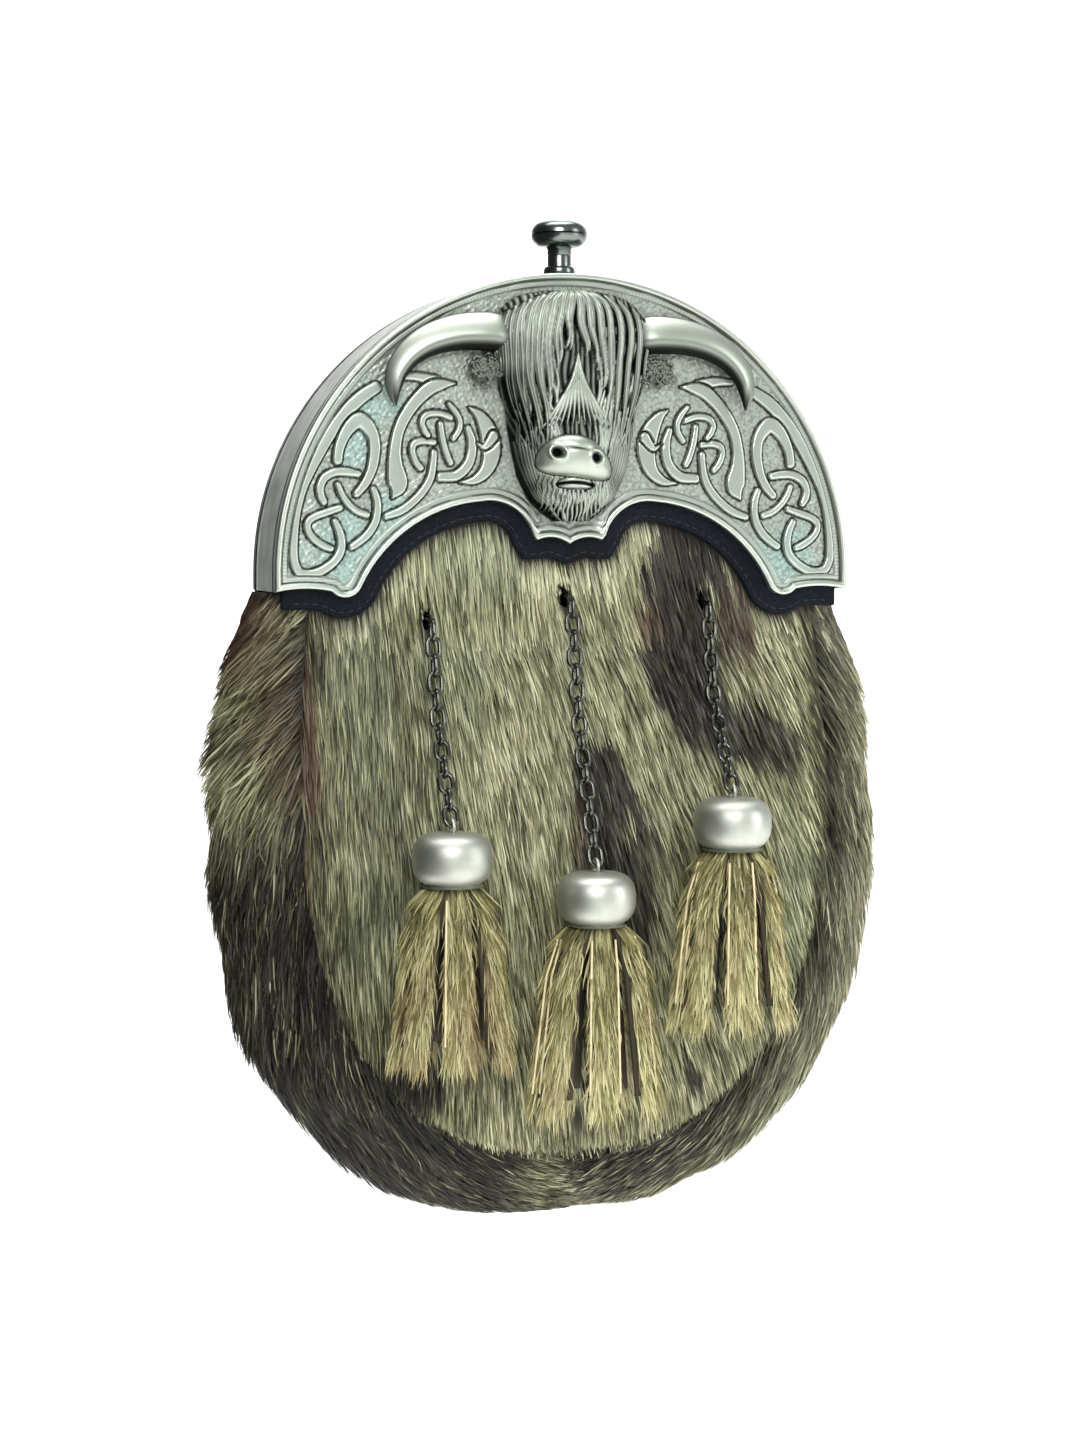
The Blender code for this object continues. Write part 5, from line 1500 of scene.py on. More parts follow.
@dataclass
class Coat:
    """The coat's markings: dark, brown and sage patches over the front and the border."""

    # X, Z, radius across, radius up in mm, turn in degrees and strength
    dark: tuple = (
        (31.0, 2.0, 11.0, 18.0, 0, 1.0), (29.0, -20.0, 11.5, 16.0, 0, 1.0), (36.0, -33.0, 14.0, 8.5, -15, 0.95),
        (50.0, -38.0, 13.0, 7.5, -35, 0.9), (45.0, -8.0, 6.0, 9.0, 0, 0.6), (5.5, -50.0, 8.5, 14.0, 0, 1.0),
        (8.5, -76.0, 11.5, 22.0, 0, 0.95), (-44.0, -124.0, 9.5, 9.0, 0, 0.9), (30.5, -126.0, 2.6, 5.0, 20, 0.9),
        (1.0, -136.0, 3.0, 5.0, 0, 0.7), (-66.0, -100.0, 5.0, 16.0, 12, 0.35),
        (-38.0, -104.0, 14.0, 10.0, 0, 0.3),
    )
    brown: tuple = (
        (-74.0, -12.0, 5.0, 9.0, 0, 0.9), (-70.0, -36.0, 4.5, 22.0, 4, 0.7), (-72.0, -76.0, 3.0, 14.0, 0, 0.6),
        (27.0, -8.0, 8.0, 26.0, 0, 0.75), (46.0, -8.0, 6.0, 14.0, 0, 0.8), (1.0, -60.0, 3.5, 16.0, 0, 0.8),
    )
    sage: tuple = (
        (-54.0, -24.0, 8.0, 34.0, 6, 0.16), (-32.0, -20.0, 10.0, 16.0, 6, 0.16),
        (-52.0, -82.0, 10.0, 20.0, 0, 0.14), (-20.0, 8.0, 14.0, 8.0, 0, 0.25),
        (57.0, -80.0, 7.0, 26.0, 0, 0.18),
    )

    @staticmethod
    def field(table: tuple, x: Points, z: Points, seed: int) -> Points:
        """How strongly a table's patches cover each place, with ragged edges."""
        places = np.stack([x, z], 1)
        rag = 0.22 * value_noise(places, 5 * MM, seed) + 0.16 * value_noise(places * (1, 0.35), 1.6 * MM, seed + 1)
        total = np.zeros(len(x))
        for px, pz, rx, rz, turn, strength in table:
            c, s = math.cos(math.radians(turn)), math.sin(math.radians(turn))
            dx, dz = x / MM - px, z / MM - pz
            near = np.hypot((dx * c + dz * s) / rx, (dz * c - dx * s) / rz)
            total = np.maximum(total, strength * smooth((1.12 - near + rag) / 0.34))
        return np.clip(total, 0, 1)

    def values(self, x: Points, z: Points) -> dict[str, Points]:
        """The coat's three markings at each root."""
        return {
            "dark_coat": self.field(self.dark, x, z, 21),
            "brown": self.field(self.brown, x, z, 31),
            "sage": self.field(self.sage, x, z, 41),
        }

    def mark(self, hide: Piece) -> None:
        """Darkens a hide under the dark coat."""
        co = vertex_places(hide)
        set_values(hide.data, "dark_coat", self.field(self.dark, co[:, 0], co[:, 2], 21))

    @staticmethod
    def border(share: Points, across: Points, right: Points) -> tuple[Points, Points]:
        """Dark and brown coat of the gusset by place round the half outline, place across and side."""
        fading = 1 - 0.75 * smooth((across - 0.5) / 0.3) * smooth((0.54 - share) / 0.1)
        left_dark = smooth((share - 0.36) / 0.09) * fading
        left_dark = left_dark * (1 - 0.6 * smooth((share - 0.91) / 0.05))
        left_dark = np.maximum(left_dark, 0.6 * smooth((across - 0.2) / 0.3) * smooth((0.12 - share) / 0.04))
        spot = np.hypot((share - 0.27) / 0.05, (across - 0.4) / 0.22)
        left_dark = np.maximum(left_dark, 0.75 * smooth(1.4 - spot))
        right_dark = 0.28 + 0.46 * smooth((0.50 - across) / 0.4) + 0.3 * smooth((share - 0.7) / 0.12)
        right_dark = right_dark - 0.5 * smooth((across - 0.55) / 0.3) * smooth((0.62 - share) / 0.2)
        brown = smooth((0.12 - share) / 0.04) * smooth((across - 0.15) / 0.3)
        left_brown = 0.55 * np.exp(-(((share - 0.68) / 0.12) ** 2)) * smooth((across - 0.5) / 0.3)
        return np.where(right, right_dark, left_dark), np.maximum(brown, np.where(right, 0.0, left_brown))


@dataclass
class HairSet:
    """Hairs to be grown: one row for each in every field."""

    roots: Points
    normals: Points
    ways: Points
    lengths: Points
    widths: Points
    lift: Points
    values: dict[str, Points]
    curl: float

    def part(self, mine: Points) -> HairSet:
        """The hairs for which mine is true."""
        rows = (self.roots, self.normals, self.ways, self.lengths, self.widths, self.lift)
        values = {key: row[mine] for key, row in self.values.items()}
        return HairSet(*(row[mine] for row in rows), values, self.curl)

    def grow(self, name: str, finish: Material, seed: int) -> Piece:
        """Grows each hair as a blade of two quads and a tip.

        Args:
            name: The piece's name.
            finish: Its material.
            seed: Seed of the blades' roll and waves.

        Returns:
            The object, with one value of each marking at every vertex and a strip of the bake map for each hair.
        """
        rng = np.random.default_rng(seed)
        count = len(self.roots)
        ways = unit(self.ways - self.normals * (self.ways * self.normals).sum(1, keepdims=True))
        side = np.cross(ways, self.normals)
        roll = rng.normal(scale=0.55, size=(count, 1))
        across = side * np.cos(roll) + self.normals * np.sin(roll)
        wave = rng.normal(scale=self.curl, size=(count, 2))
        stops = ((0.0, 0.62), (0.36, 1.0), (0.74, 0.72), (1.0, 0.0))
        points, along = [], []
        for share, wide in stops:
            rise = self.lift * (share - 0.55 * share * share)
            sway = wave[:, :1] * share**1.5 + wave[:, 1:] * np.sin(math.pi * share)
            offset = ways * share + self.normals * rise[:, None] + side * sway
            middle = self.roots + self.lengths[:, None] * offset
            half = across * (self.widths * wide / 2)[:, None]
            points += [middle] if wide == 0 else [middle - half, middle + half]
            along += [share] * (1 if wide == 0 else 2)
        block = np.stack(points, 1).reshape(-1, 3)
        first = np.arange(count)[:, None] * BLADE_POINTS
        quads = np.concatenate([first + (0, 1, 3, 2), first + (2, 3, 5, 4)])
        joined = JoinedMesh()
        joined.add(block, [quads, first + (4, 5, 6)])
        mesh = joined.mesh(name)
        set_values(mesh, "along", np.tile(along, count))
        for key, value in self.values.items():
            set_values(mesh, key, np.repeat(value, BLADE_POINTS))
        self.lay_strips(mesh, count)
        return new_object(name, mesh, finish)

    @staticmethod
    def lay_strips(mesh: bpy.types.Mesh, count: int) -> None:
        """Gives each hair its own small strip of the bake map."""
        cells = math.ceil(math.sqrt(count))
        corners = np.zeros(len(mesh.loops), np.int32)
        mesh.loops.foreach_get("vertex_index", corners)
        hair, corner = corners // BLADE_POINTS, corners % BLADE_POINTS
        u = np.array([0.2, 0.8, 0.2, 0.8, 0.2, 0.8, 0.5])[corner]
        v = np.array([0.15, 0.15, 0.4, 0.4, 0.65, 0.65, 0.85])[corner]
        places = np.stack([(hair % cells + u) / cells, (hair // cells + v) / cells], 1)
        mesh.uv_layers.new(name="OFBake").data.foreach_set("uv", places.ravel().astype(np.float32))


def clump(
    roots: Points, ways: Points, lengths: Points, size: float, pull: float, seed: int
) -> tuple[Points, Points]:
    """Draws the tips of neighbouring hairs together.

    Args:
        roots: Roots of the hairs.
        ways: Their directions.
        lengths: Their lengths.
        size: Width of a clump.
        pull: How far a tip moves to its clump's middle, from 0 to 1.
        seed: Seed of the clumps.

    Returns:
        The new directions, and a number from 0 to 1 that is the same all over a clump.
    """
    rng = np.random.default_rng(seed)
    shift = size * 0.35 * np.stack([value_noise(roots, 3 * size, seed + k) for k in range(3)], 1)
    cell = np.floor((roots + shift) / size).astype(np.int64)
    _, which = np.unique(cell, axis=0, return_inverse=True)
    which = which.ravel()
    total = which.max() + 1
    members = np.bincount(which, minlength=total)
    tips = roots + ways * lengths[:, None]
    middle = np.stack([np.bincount(which, tips[:, k], total) / members for k in range(3)], 1)
    aim = tips + (middle[which] - tips) * pull
    return unit(aim - roots), rng.uniform(0, 1, total)[which]


def mixed(dark: Points, pale: float, rng: Generator) -> Points:
    """The coat's darkness hair by hair.

    Args:
        dark: Darkness of the coat at each hair.
        pale: Share of single pale hairs in the dark parts.
        rng: Source of the random draws.

    Returns:
        The darkness of each hair, with a few dark hairs in the pale parts too.
    """
    lone = rng.uniform(0, 1, len(dark))
    own = np.clip(dark + rng.normal(scale=0.12, size=len(dark)) * (dark > 0.03), 0, 1)
    return np.select([(dark > 0.5) & (lone < pale), (dark <= 0.5) & (lone < 0.05)], [0.3, 0.8], own)


@dataclass
class FurFront:
    """The front panel: hide with slits for the chains, and guard hair that lies down to the bottom seam."""

    form: PouchForm
    coat: Coat
    hairs: int = 38000
    length: float = 10.5 * MM
    width: float = 0.36 * MM
    wall: float = 1.6 * MM
    slit: tuple = (5.0 * MM, 7.0 * MM)
    past_seam: float = 1.2 * MM
    overlap: float = 0.6 * MM
    slope_step: float = 2.5 * MM
    clump_size: float = 1.5 * MM
    clump_pull: float = 0.24
    curl: float = 0.022
    seed: int = 11

    def hide_mesh(self, finish: Material, drops: list[TasselDrop]) -> None:
        """The hide's wall, with a slit for each chain."""
        bm, across, up = grid_mesh(72, 110)
        top, bottom = 27.0 * MM, self.form.front_station(np.array([0.97]))[1][0]
        z = bottom + (top - bottom) * up
        half = self.form.panel_half_width(z) - 0.3 * MM
        place_vertices(bm, self.form.panel_point(half * (2 * across - 1), z))
        thicken(bm, lambda face: abs(face.calc_center_median().x), Vector((0, -1, 0)), self.wall)
        hide = from_bmesh(bm, "front_hide", finish, 60)
        for drop in drops:
            cutter_bm = bmesh.new()
            bmesh.ops.create_cube(cutter_bm, size=1.0)
            wide, tall = self.slit
            size = Matrix.Diagonal((wide * 0.45, 30 * MM, tall, 1.0))
            place = Matrix.Translation((drop.x, self.form.edge_depth * -0.9, drop.slit_z))
            bmesh.ops.transform(cutter_bm, matrix=place @ size, verts=cutter_bm.verts[:])
            cut(hide, from_bmesh(cutter_bm, "slit_cutter", None))
        self.coat.mark(hide)
        finish_piece(hide, replaced=("front_panel",))

    def slant(self, x: Points, z: Points) -> Points:
        """Angle of the hair from straight down, positive towards +X."""
        places = np.stack([x, z], 1)
        base = np.radians(9 + 7 * np.clip(x / (50 * MM), -1, 1))
        base = base + np.radians(5) * value_noise(places, 12 * MM, 51)
        return base + np.radians(2.5) * value_noise(places, 3 * MM, 52)

    def short_of_seam(self, x: Points, z: Points, turn: Points, lengths: Points) -> Points:
        """Lengths cut so that no hair reaches far past the front seam."""
        kept = 0.25 * lengths
        low = -self.form.drop + self.form.border_bottom
        for share in (0.4, 0.55, 0.7, 0.85, 1.0):
            tip_x = x + np.sin(turn) * lengths * share
            tip_z = z - np.cos(turn) * lengths * share
            inside = np.abs(tip_x) < self.form.panel_half_width(tip_z) + self.past_seam
            kept = np.where(inside & (tip_z > low - self.past_seam), lengths * share, kept)
        return kept

    def root_places(self, rng: Generator, drops: list[TasselDrop]) -> tuple[Points, Points]:
        """X and Z of the roots: under the apron's edge, inside the seam and clear of the slits."""
        form = self.form
        tries = int(self.hairs * 1.9)
        x = rng.uniform(-1, 1, tries) * (form.half_width - form.border_side + 1 * MM)
        z = rng.uniform(-form.drop + form.border_bottom - 2 * MM, 21 * MM, tries)
        inside = (np.abs(x) < form.panel_half_width(z) + self.overlap) & (z < form.apron_z(x) + self.overlap)
        for drop in drops:
            inside &= np.hypot((x - drop.x) / (1.0 * MM), (z - drop.slit_z) / (3.8 * MM)) > 1
        return x[inside][: self.hairs], z[inside][: self.hairs]

    def ways_out(self, x: Points, z: Points) -> Points:
        """The way out of the hide at each root."""
        point, small = self.form.panel_point, self.slope_step
        return unit(np.cross(point(x + small, z) - point(x - small, z), point(x, z + small) - point(x, z - small)))

    def hair_lengths(self, x: Points, z: Points, turn: Points, drops: list[TasselDrop], rng: Generator) -> Points:
        """Lengths of the hairs, short at the seam and above the slits, where the chains come out."""
        lengths = self.short_of_seam(x, z, turn, self.length * rng.uniform(0.7, 1.2, len(x)))
        for drop in drops:
            above = (np.abs(x - drop.x + 1.0 * MM) < 2.2 * MM) & (z > drop.slit_z) & (z < drop.slit_z + 15 * MM)
            room = (z - drop.slit_z - 2.6 * MM) * rng.uniform(0.8, 1.5, len(x))
            lengths = np.where(above, np.clip(room, 1.5 * MM, lengths), lengths)
        return lengths

    def paleness(self, x: Points, z: Points, below: Points, tone: Points, rng: Generator) -> Points:
        """Shade of each hair from 0 to 1.

        Args:
            x: X of its root.
            z: Z of its root.
            below: 0 at the apron's edge and 1 from a little below it.
            tone: A number that a clump of hairs shares.
            rng: Source of the random draws.

        Returns:
            The shades: by clump and by chance, pale at the middle, with painted shade at the left and at the seam,
                and painted light just under the apron's edge.
        """
        mottle = value_noise(np.stack([x, z * 0.4], 1), 4 * MM, 71)
        # Painted shade in the crease along the seam, stronger on the right
        seam = smooth((np.abs(x) / self.form.panel_half_width(z) - 0.90) / 0.09) * np.where(x > 0, 0.5, 0.2)
        cream = 0.10 * np.exp(-(((x + 2 * MM) / (26 * MM)) ** 2)) * smooth((z + 70 * MM) / (60 * MM))
        # Painted shade over the left side of the panel
        left = 0.14 * smooth((-x - 28 * MM) / (22 * MM)) * (1 - 0.4 * smooth((z + 20 * MM) / (20 * MM)))
        shade = 0.05 + 0.36 * tone + 0.60 * rng.uniform(0, 1, len(x)) + 0.10 * mottle + cream - seam - left
        # Painted light on the hairs just under the apron's edge, where its shadow falls
        return np.clip(shade + 0.32 * (1 - below), 0, 1)

    def build(self, fur: Material, skin: Material, drops: list[TasselDrop]) -> None:
        """Makes the hide and grows its hair in two pieces."""
        self.hide_mesh(skin, drops)
        rng = np.random.default_rng(self.seed)
        x, z = self.root_places(rng, drops)
        roots = self.form.panel_point(x, z)
        turn = self.slant(x, z)
        ways = np.stack([np.sin(turn), np.zeros(len(x)), -np.cos(turn)], 1)
        lengths = self.hair_lengths(x, z, turn, drops, rng)
        below = np.clip((self.form.apron_z(x) + 1 * MM - z) / (9 * MM), 0, 1)
        ways, tone = clump(roots, ways, lengths, self.clump_size, self.clump_pull, 61)
        lift = (0.12 + 0.30 * below) * rng.uniform(0.55, 1.35, len(x))
        values = self.coat.values(x, z)
        values["dark_coat"] = mixed(values["dark_coat"], 0.03, rng)
        values["shade"] = self.paleness(x, z, below, tone, rng)
        widths = self.width * rng.uniform(0.7, 1.25, len(x))
        hairs = HairSet(roots, self.ways_out(x, z), ways, lengths, widths, lift, values, self.curl)
        for side in Side:
            mine = hairs.part(np.sign(x + 1e-9) == side.value)
            finish_piece(mine.grow("front_fur_" + side.name.lower(), fur, 80 + side.value))


@dataclass
class FurGusset:
    """The fur wall round the sides and the bottom, whose hair sweeps back and down from the front seam."""

    form: PouchForm
    coat: Coat
    hairs: int = 38000
    length: float = 14.0 * MM
    width: float = 0.44 * MM
    wall: float = 1.5 * MM
    clump_size: float = 2.4 * MM
    clump_pull: float = 0.45
    curl: float = 0.07
    seed: int = 12
    # Steps round and across over which the hide's slope is taken
    round_step: float = 0.004
    across_step: float = 0.02
    # A point inside the pouch, from which the hide faces away
    middle: tuple = (0.0, 0.0, -60 * MM)

    def hide_mesh(self, finish: Material) -> None:
        """The hide's wall."""
        bm, across, round_share = grid_mesh(14, 200)
        share = 1 - np.abs(2 * round_share - 1)
        side = np.where(round_share < 0.5, -1.0, 1.0)
        place_vertices(bm, self.form.gusset_point(share, across, side))
        thicken(bm, lambda face: face.calc_center_median().z, Vector((0, 0, -1)), self.wall)
        hide = from_bmesh(bm, "gusset_hide", finish, 60)
        self.coat.mark(hide)
        finish_piece(hide, replaced=("gusset",))

    def lie(self, side: Side, share: Points, across: Points) -> tuple[Points, Points, Points, Points]:
        """How the hair of one side lies.

        Args:
            side: The side.
            share: Place of each hair round the half outline.
            across: Its place from the front seam to the back.

        Returns:
            Its root, the way out of the hide there, its direction, and a soft noise that ruffles the coat.
        """
        point, sign = self.form.gusset_point, np.full(len(share), float(side.value))
        roots = point(share, across, sign)
        high, low = np.clip(share + self.round_step, 0, 1), np.clip(share - self.round_step, 0, 1)
        down = unit(point(high, across, sign) - point(low, across, sign))
        far, near = np.clip(across + self.across_step, 0, 1), np.clip(across - self.across_step, 0, 1)
        back = unit(point(share, far, sign) - point(share, near, sign))
        normals = unit(np.cross(back, down))
        normals *= np.sign((normals * (roots - self.middle)).sum(1))[:, None]
        swirl = value_noise(roots, 14 * MM, 91)
        fan = 0.16 + (0.56 if side is Side.LEFT else 0.22) * smooth((0.44 - share) / 0.26)
        backward = fan * (1.1 - 0.5 * across) + 0.14 * swirl
        return roots, normals, unit(down * (1.0 - 0.25 * fan)[:, None] + back * backward[:, None]), swirl

    def build(self, fur: Material, skin: Material) -> None:
        """Makes the hide and grows its hair in two pieces."""
        self.hide_mesh(skin)
        rng = np.random.default_rng(self.seed)
        count = self.hairs // 2
        table = np.linspace(0, 1, 400)
        walked = walk_lengths(self.form.gusset_point(table, np.full(400, 0.5), np.ones(400)))
        for side in Side:
            share = np.interp(rng.uniform(0, walked[-1], count), walked, table)
            across = np.clip(rng.uniform(-0.02, 1.0, count), 0.0, 0.985)
            roots, normals, ways, swirl = self.lie(side, share, across)
            lengths = self.length * rng.uniform(0.65, 1.2, count) * (0.55 + 0.45 * smooth(share / 0.10))
            lengths = np.minimum(lengths, self.length * (0.35 + 3.2 * (1 - share)))
            ways, tone = clump(roots, ways, lengths, self.clump_size, self.clump_pull, 93)
            lift = (0.27 + 0.14 * swirl) * rng.uniform(0.6, 1.4, count) * (0.3 + 0.7 * smooth(share / 0.12))
            lift *= 1 - 0.55 * smooth((across - 0.6) / 0.4)
            values = self.coat.values(roots[:, 0], roots[:, 2])
            drift = value_noise(roots * (1, 1, 0.6), 8 * MM, 95)
            ragged = across + 0.08 * value_noise(roots, 3 * MM, 96)
            dark, brown = self.coat.border(np.clip(share + 0.02 * drift, 0, 1), ragged, side is Side.RIGHT)
            values["dark_coat"] = mixed(np.clip(dark, 0, 1), 0.08 if side is Side.LEFT else 0.16, rng)
            values["brown"] = np.maximum(brown, 0.6 * values["brown"])
            # Painted shade on the hairs along the front seam, where the two furs meet
            painted_seam_shade = (0.25 + 0.1 * side.value) * smooth((0.10 - across) / 0.08)
            shade = 0.10 + 0.13 * side.value + 0.38 * tone + 0.60 * rng.uniform(0, 1, count) + 0.08 * drift - painted_seam_shade
            values["shade"] = np.clip(shade, 0, 1)
            widths = self.width * rng.uniform(0.7, 1.25, count)
            hairs = HairSet(roots, normals, ways, lengths, widths, lift, values, self.curl)
            finish_piece(hairs.grow("gusset_fur_" + side.name.lower(), fur, 97 + side.value))


# Chains and tassels


@dataclass
class TasselDrop:
    """One chain with its cap and its tassel of fur strips."""

    form: PouchForm
    word: str
    x: float
    slit_z: float
    cap_z: float
    hair: float
    half_width: float
    wire: float = 0.47 * MM
    worn_wire: float = 0.58 * MM
    link_inside: float = 4.2 * MM
    link_half_width: float = 1.65 * MM
    link_bite: float = 0.2 * MM
    slit_height: float = 8.0 * MM
    bar_radius: float = 0.9 * MM
    shank_radius: float = 0.6 * MM
    fur: float = 3.0 * MM
    cap_radius: float = 10.1 * MM
    cap_height: float = 13.5 * MM
    cap_wall: float = 1.2 * MM
    cap_mouth: float = 7.4 * MM
    eye_radius: float = 1.75 * MM
    strips: int = 7
    strip_width: float = 9.6 * MM
    half_depth: float = 8.6 * MM
    strip_rows: int = 16
    strip_columns: int = 6
    edge_points: int = 14
    hairs: int = 6200
    hair_length: float = 8.6 * MM
    hair_width: float = 0.36 * MM
    clump_size: float = 1.9 * MM
    clump_pull: float = 0.42
    curl: float = 0.06
    edge_radius: float = 0.30 * MM
    edge_out: float = 2.6 * MM
    skin_out: float = 0.45 * MM

    def hide_y(self, z: float) -> float:
        """Depth of the front hide behind the chain at a height."""
        return float(self.form.panel_y(np.array([self.x]), np.array([z]))[0])

    def cap_y(self) -> float:
        """Depth of the cap's middle."""
        return self.hide_y(self.cap_z) - self.fur - self.form.seat_gap - self.cap_radius

    def eye(self) -> Points:
        """The middle of the cap's eye."""
        return np.array([self.x, self.cap_y(), self.cap_z + self.cap_height / 2 + self.eye_radius - self.wire])

    def route(self) -> Points:
        """The chain's line from its slit over the fur to the cap's eye."""
        gap = self.form.seat_gap
        clear = gap + self.link_half_width + self.wire
        lip_z = self.slit_z - self.slit_height / 2 + self.link_half_width + self.wire + 2 * gap
        lip = np.array([self.x, self.hide_y(self.slit_z) - 1.15 * self.fur - clear, lip_z])
        hook = self.eye() + np.array([0.0, 0.0, self.eye_radius - 2 * self.wire - gap])
        middle_z = (lip_z + hook[2]) / 2
        return np.array([lip, (self.x, self.hide_y(middle_z) - self.fur - clear, middle_z), hook])

    @staticmethod
    def equal_steps(route: Points, count: int) -> Points:
        """Points on a route that lie the same straight distance apart."""
        lengths = walk_lengths(route)
        at = np.linspace(0.0, lengths[-1], count + 1)
        for _ in range(40):
            points = np.stack([np.interp(at, lengths, route[:, axis]) for axis in range(3)], axis=1)
            walked = walk_lengths(points)
            at = np.interp(np.linspace(0.0, walked[-1], count + 1), walked, at)
        return points

    def chain(self, finish: Material) -> None:
        """The links, turned a quarter from each to the next, and the toggle behind the hide."""
        route = self.route()
        total = np.linalg.norm(np.diff(route, axis=0), axis=1).sum()
        count = round(float(total) / (self.link_inside + self.link_bite))
        points = self.equal_steps(route, count)
        joined = JoinedMesh()
        turn = np.linspace(0, math.pi, 11)
        for i, (start, end) in enumerate(zip(points, points[1:])):
            along = unit(end - start)
            normal = unit(np.cross(along, (1.0, 0.0, 0.0)))
            facing = np.cross(along, normal) if (count - i) % 2 == 0 else normal
            sideways = np.cross(along, facing)
            inside = np.linalg.norm(end - start) - self.link_bite
            straight = inside / 2 + self.wire - self.link_half_width
            line = []
            for way in (1, -1):
                out = np.outer(np.cos(turn) * way, sideways) + np.outer(np.sin(turn) * way, along)
                line.append((start + end) / 2 + along * straight * way + out * self.link_half_width)
            line = np.vstack(line)
            joined.add_tube(line, np.full(len(line), self.worn_wire), 8, ring=True)
        behind = self.hide_y(self.slit_z) + self.form.hide + self.form.seat_gap
        middle = np.array([self.x, behind + self.bar_radius, self.slit_z])
        bar = middle + np.outer(np.linspace(-5.5, 5.5, 6) * MM, (1, 0, 0))
        joined.add_tube(bar, np.full(6, self.bar_radius), 10)
        joined.add_tube(np.linspace(middle, points[0], 5), np.full(5, self.shank_radius), 8)
        finish_piece(joined.piece("links_" + self.word, finish), replaced=("chain_" + self.word,))

    def cap(self, finish: Material) -> None:
        """The spun cap, open below, with its eye."""
        centre = Vector((self.x, self.cap_y(), self.cap_z))
        outer, tall, wall = self.cap_radius, self.cap_height / 2, self.cap_wall
        profile = [(0.0, tall - wall), (0.0, tall)]
        for i in range(1, 17):
            turn = math.pi / 2 - math.pi * i / 16 * 0.93
            up = math.copysign(abs(math.sin(turn)) ** 0.8, math.sin(turn))
            profile.append((outer * abs(math.cos(turn)) ** 0.52, tall * up))
        mouth = self.cap_mouth
        profile += [(mouth + 0.4 * MM, -tall), (mouth - 0.3 * MM, -tall), (mouth - wall, -tall + wall)]
        inner = outer - wall
        profile += [(inner - 0.6 * MM, -0.5 * tall), (inner, 0.0), (inner - 1.2 * MM, 0.55 * tall)]
        profile.append((0.0, tall - wall))
        cap = from_bmesh(turned(profile, centre, 72), "cap_spun_" + self.word, finish, 60)
        finish_piece(cap, replaced=("tassel_cap_" + self.word,))
        turn = np.linspace(0, math.tau, 28, endpoint=False)
        ring = self.eye() + np.stack([np.zeros(28), np.cos(turn), np.sin(turn)], 1) * self.eye_radius
        joined = JoinedMesh()
        joined.add_tube(ring, np.full(28, self.wire), 10, ring=True)
        finish_piece(joined.piece("cap_eye_" + self.word, finish))

    def strip_point(self, angle: float, down: Points, across: Points, out: float) -> Points:
        """Points of a hanging strip.

        Args:
            angle: Where the strip hangs round the tassel.
            down: 0 at the cap and 1 at the hem.
            across: -1 to 1 over the strip's width.
            out: Distance out from the strip's middle.

        Returns:
            The points.
        """
        way = np.array([math.cos(angle), math.sin(angle)])
        tangent = np.array([-way[1], way[0]])
        spread = np.interp(down, (0.0, 0.06, 0.3, 1.0), (0.36, 0.50, 0.70, 0.92))
        depth = np.interp(down, (0.0, 0.06, 0.3, 1.0), (0.55, 0.64, 0.76, 0.86))
        middle = np.stack([way[0] * self.half_width * spread, way[1] * self.half_depth * depth], -1)
        middle = middle * (1 - 1.2 * MM / np.linalg.norm(middle, axis=-1, keepdims=True))
        half = 0.5 * self.strip_width * (0.38 + 0.50 * spread)
        bow = -0.9 * MM * across**2
        at = middle + tangent * (half * across)[..., None] + way * (bow + out)[..., None]
        top = self.cap_z - self.cap_height / 2 + self.cap_wall
        z = top - (self.hair - 5.0 * MM + self.cap_wall) * down
        return np.stack([self.x + at[..., 0], self.cap_y() + at[..., 1], z], -1)

    def add_strip(self, joined: JoinedMesh, angle: float) -> None:
        """Adds one closed strip of hide, a millimetre thick, that hangs at an angle round the tassel."""
        rows, columns = self.strip_rows, self.strip_columns
        down, across = np.meshgrid(np.linspace(0, 1, rows), np.linspace(-1, 1, columns), indexing="ij")
        sheets = [self.strip_point(angle, down.ravel(), across.ravel(), out) for out in (0.5 * MM, -0.5 * MM)]
        total = rows * columns
        place = np.arange(total).reshape(rows, columns)
        corners = [place[:-1, :-1], place[:-1, 1:], place[1:, 1:], place[1:, :-1]]
        sheet = np.stack(corners, -1).reshape(-1, 4)
        rim = np.concatenate([place[0], place[1:, -1], place[-1, -2::-1], place[-2:0:-1, 0]])
        wall = np.stack([rim, rim + total, np.roll(rim, -1) + total, np.roll(rim, -1)], 1)
        joined.add(np.vstack(sheets), [sheet, sheet[:, ::-1] + total, wall])

    def bare_edges(self, strip: int) -> list[int]:
        """Which edges of a strip show their cut skin: two of three, and few on the left tassel."""
        bare = [edge for edge in (-1, 1) if (2 * strip + (edge > 0)) % 3 != 0]
        if self.word != "left":
            return bare
        return bare[:1] if strip % 3 == 2 else []

    def strip_hairs(self, angle: float, rng: Generator) -> tuple[Points, Points, Points]:
        """Roots, ways out and directions of the hairs on one strip, which part to its edges."""
        count = self.hairs // self.strips
        d_at = rng.uniform(-0.04, 1.02, count)
        across = rng.uniform(-0.80, 0.80, count)
        down, above = np.clip(d_at, 0, 1), np.clip(d_at, 0, 0.98)
        roots = self.strip_point(angle, down, across, self.skin_out)
        below = self.strip_point(angle, above + 0.02, across, self.skin_out)
        downward = unit(below - self.strip_point(angle, above, across, self.skin_out))
        sideways = unit(self.strip_point(angle, down, across + 0.05, self.skin_out) - roots)
        normals = unit(np.cross(sideways, downward))
        normals *= np.sign(normals @ np.array([math.cos(angle), math.sin(angle), 0.0]))[:, None]
        part = across * 0.06 + rng.normal(scale=0.17, size=count)
        return roots, normals, unit(downward + sideways * part[:, None])

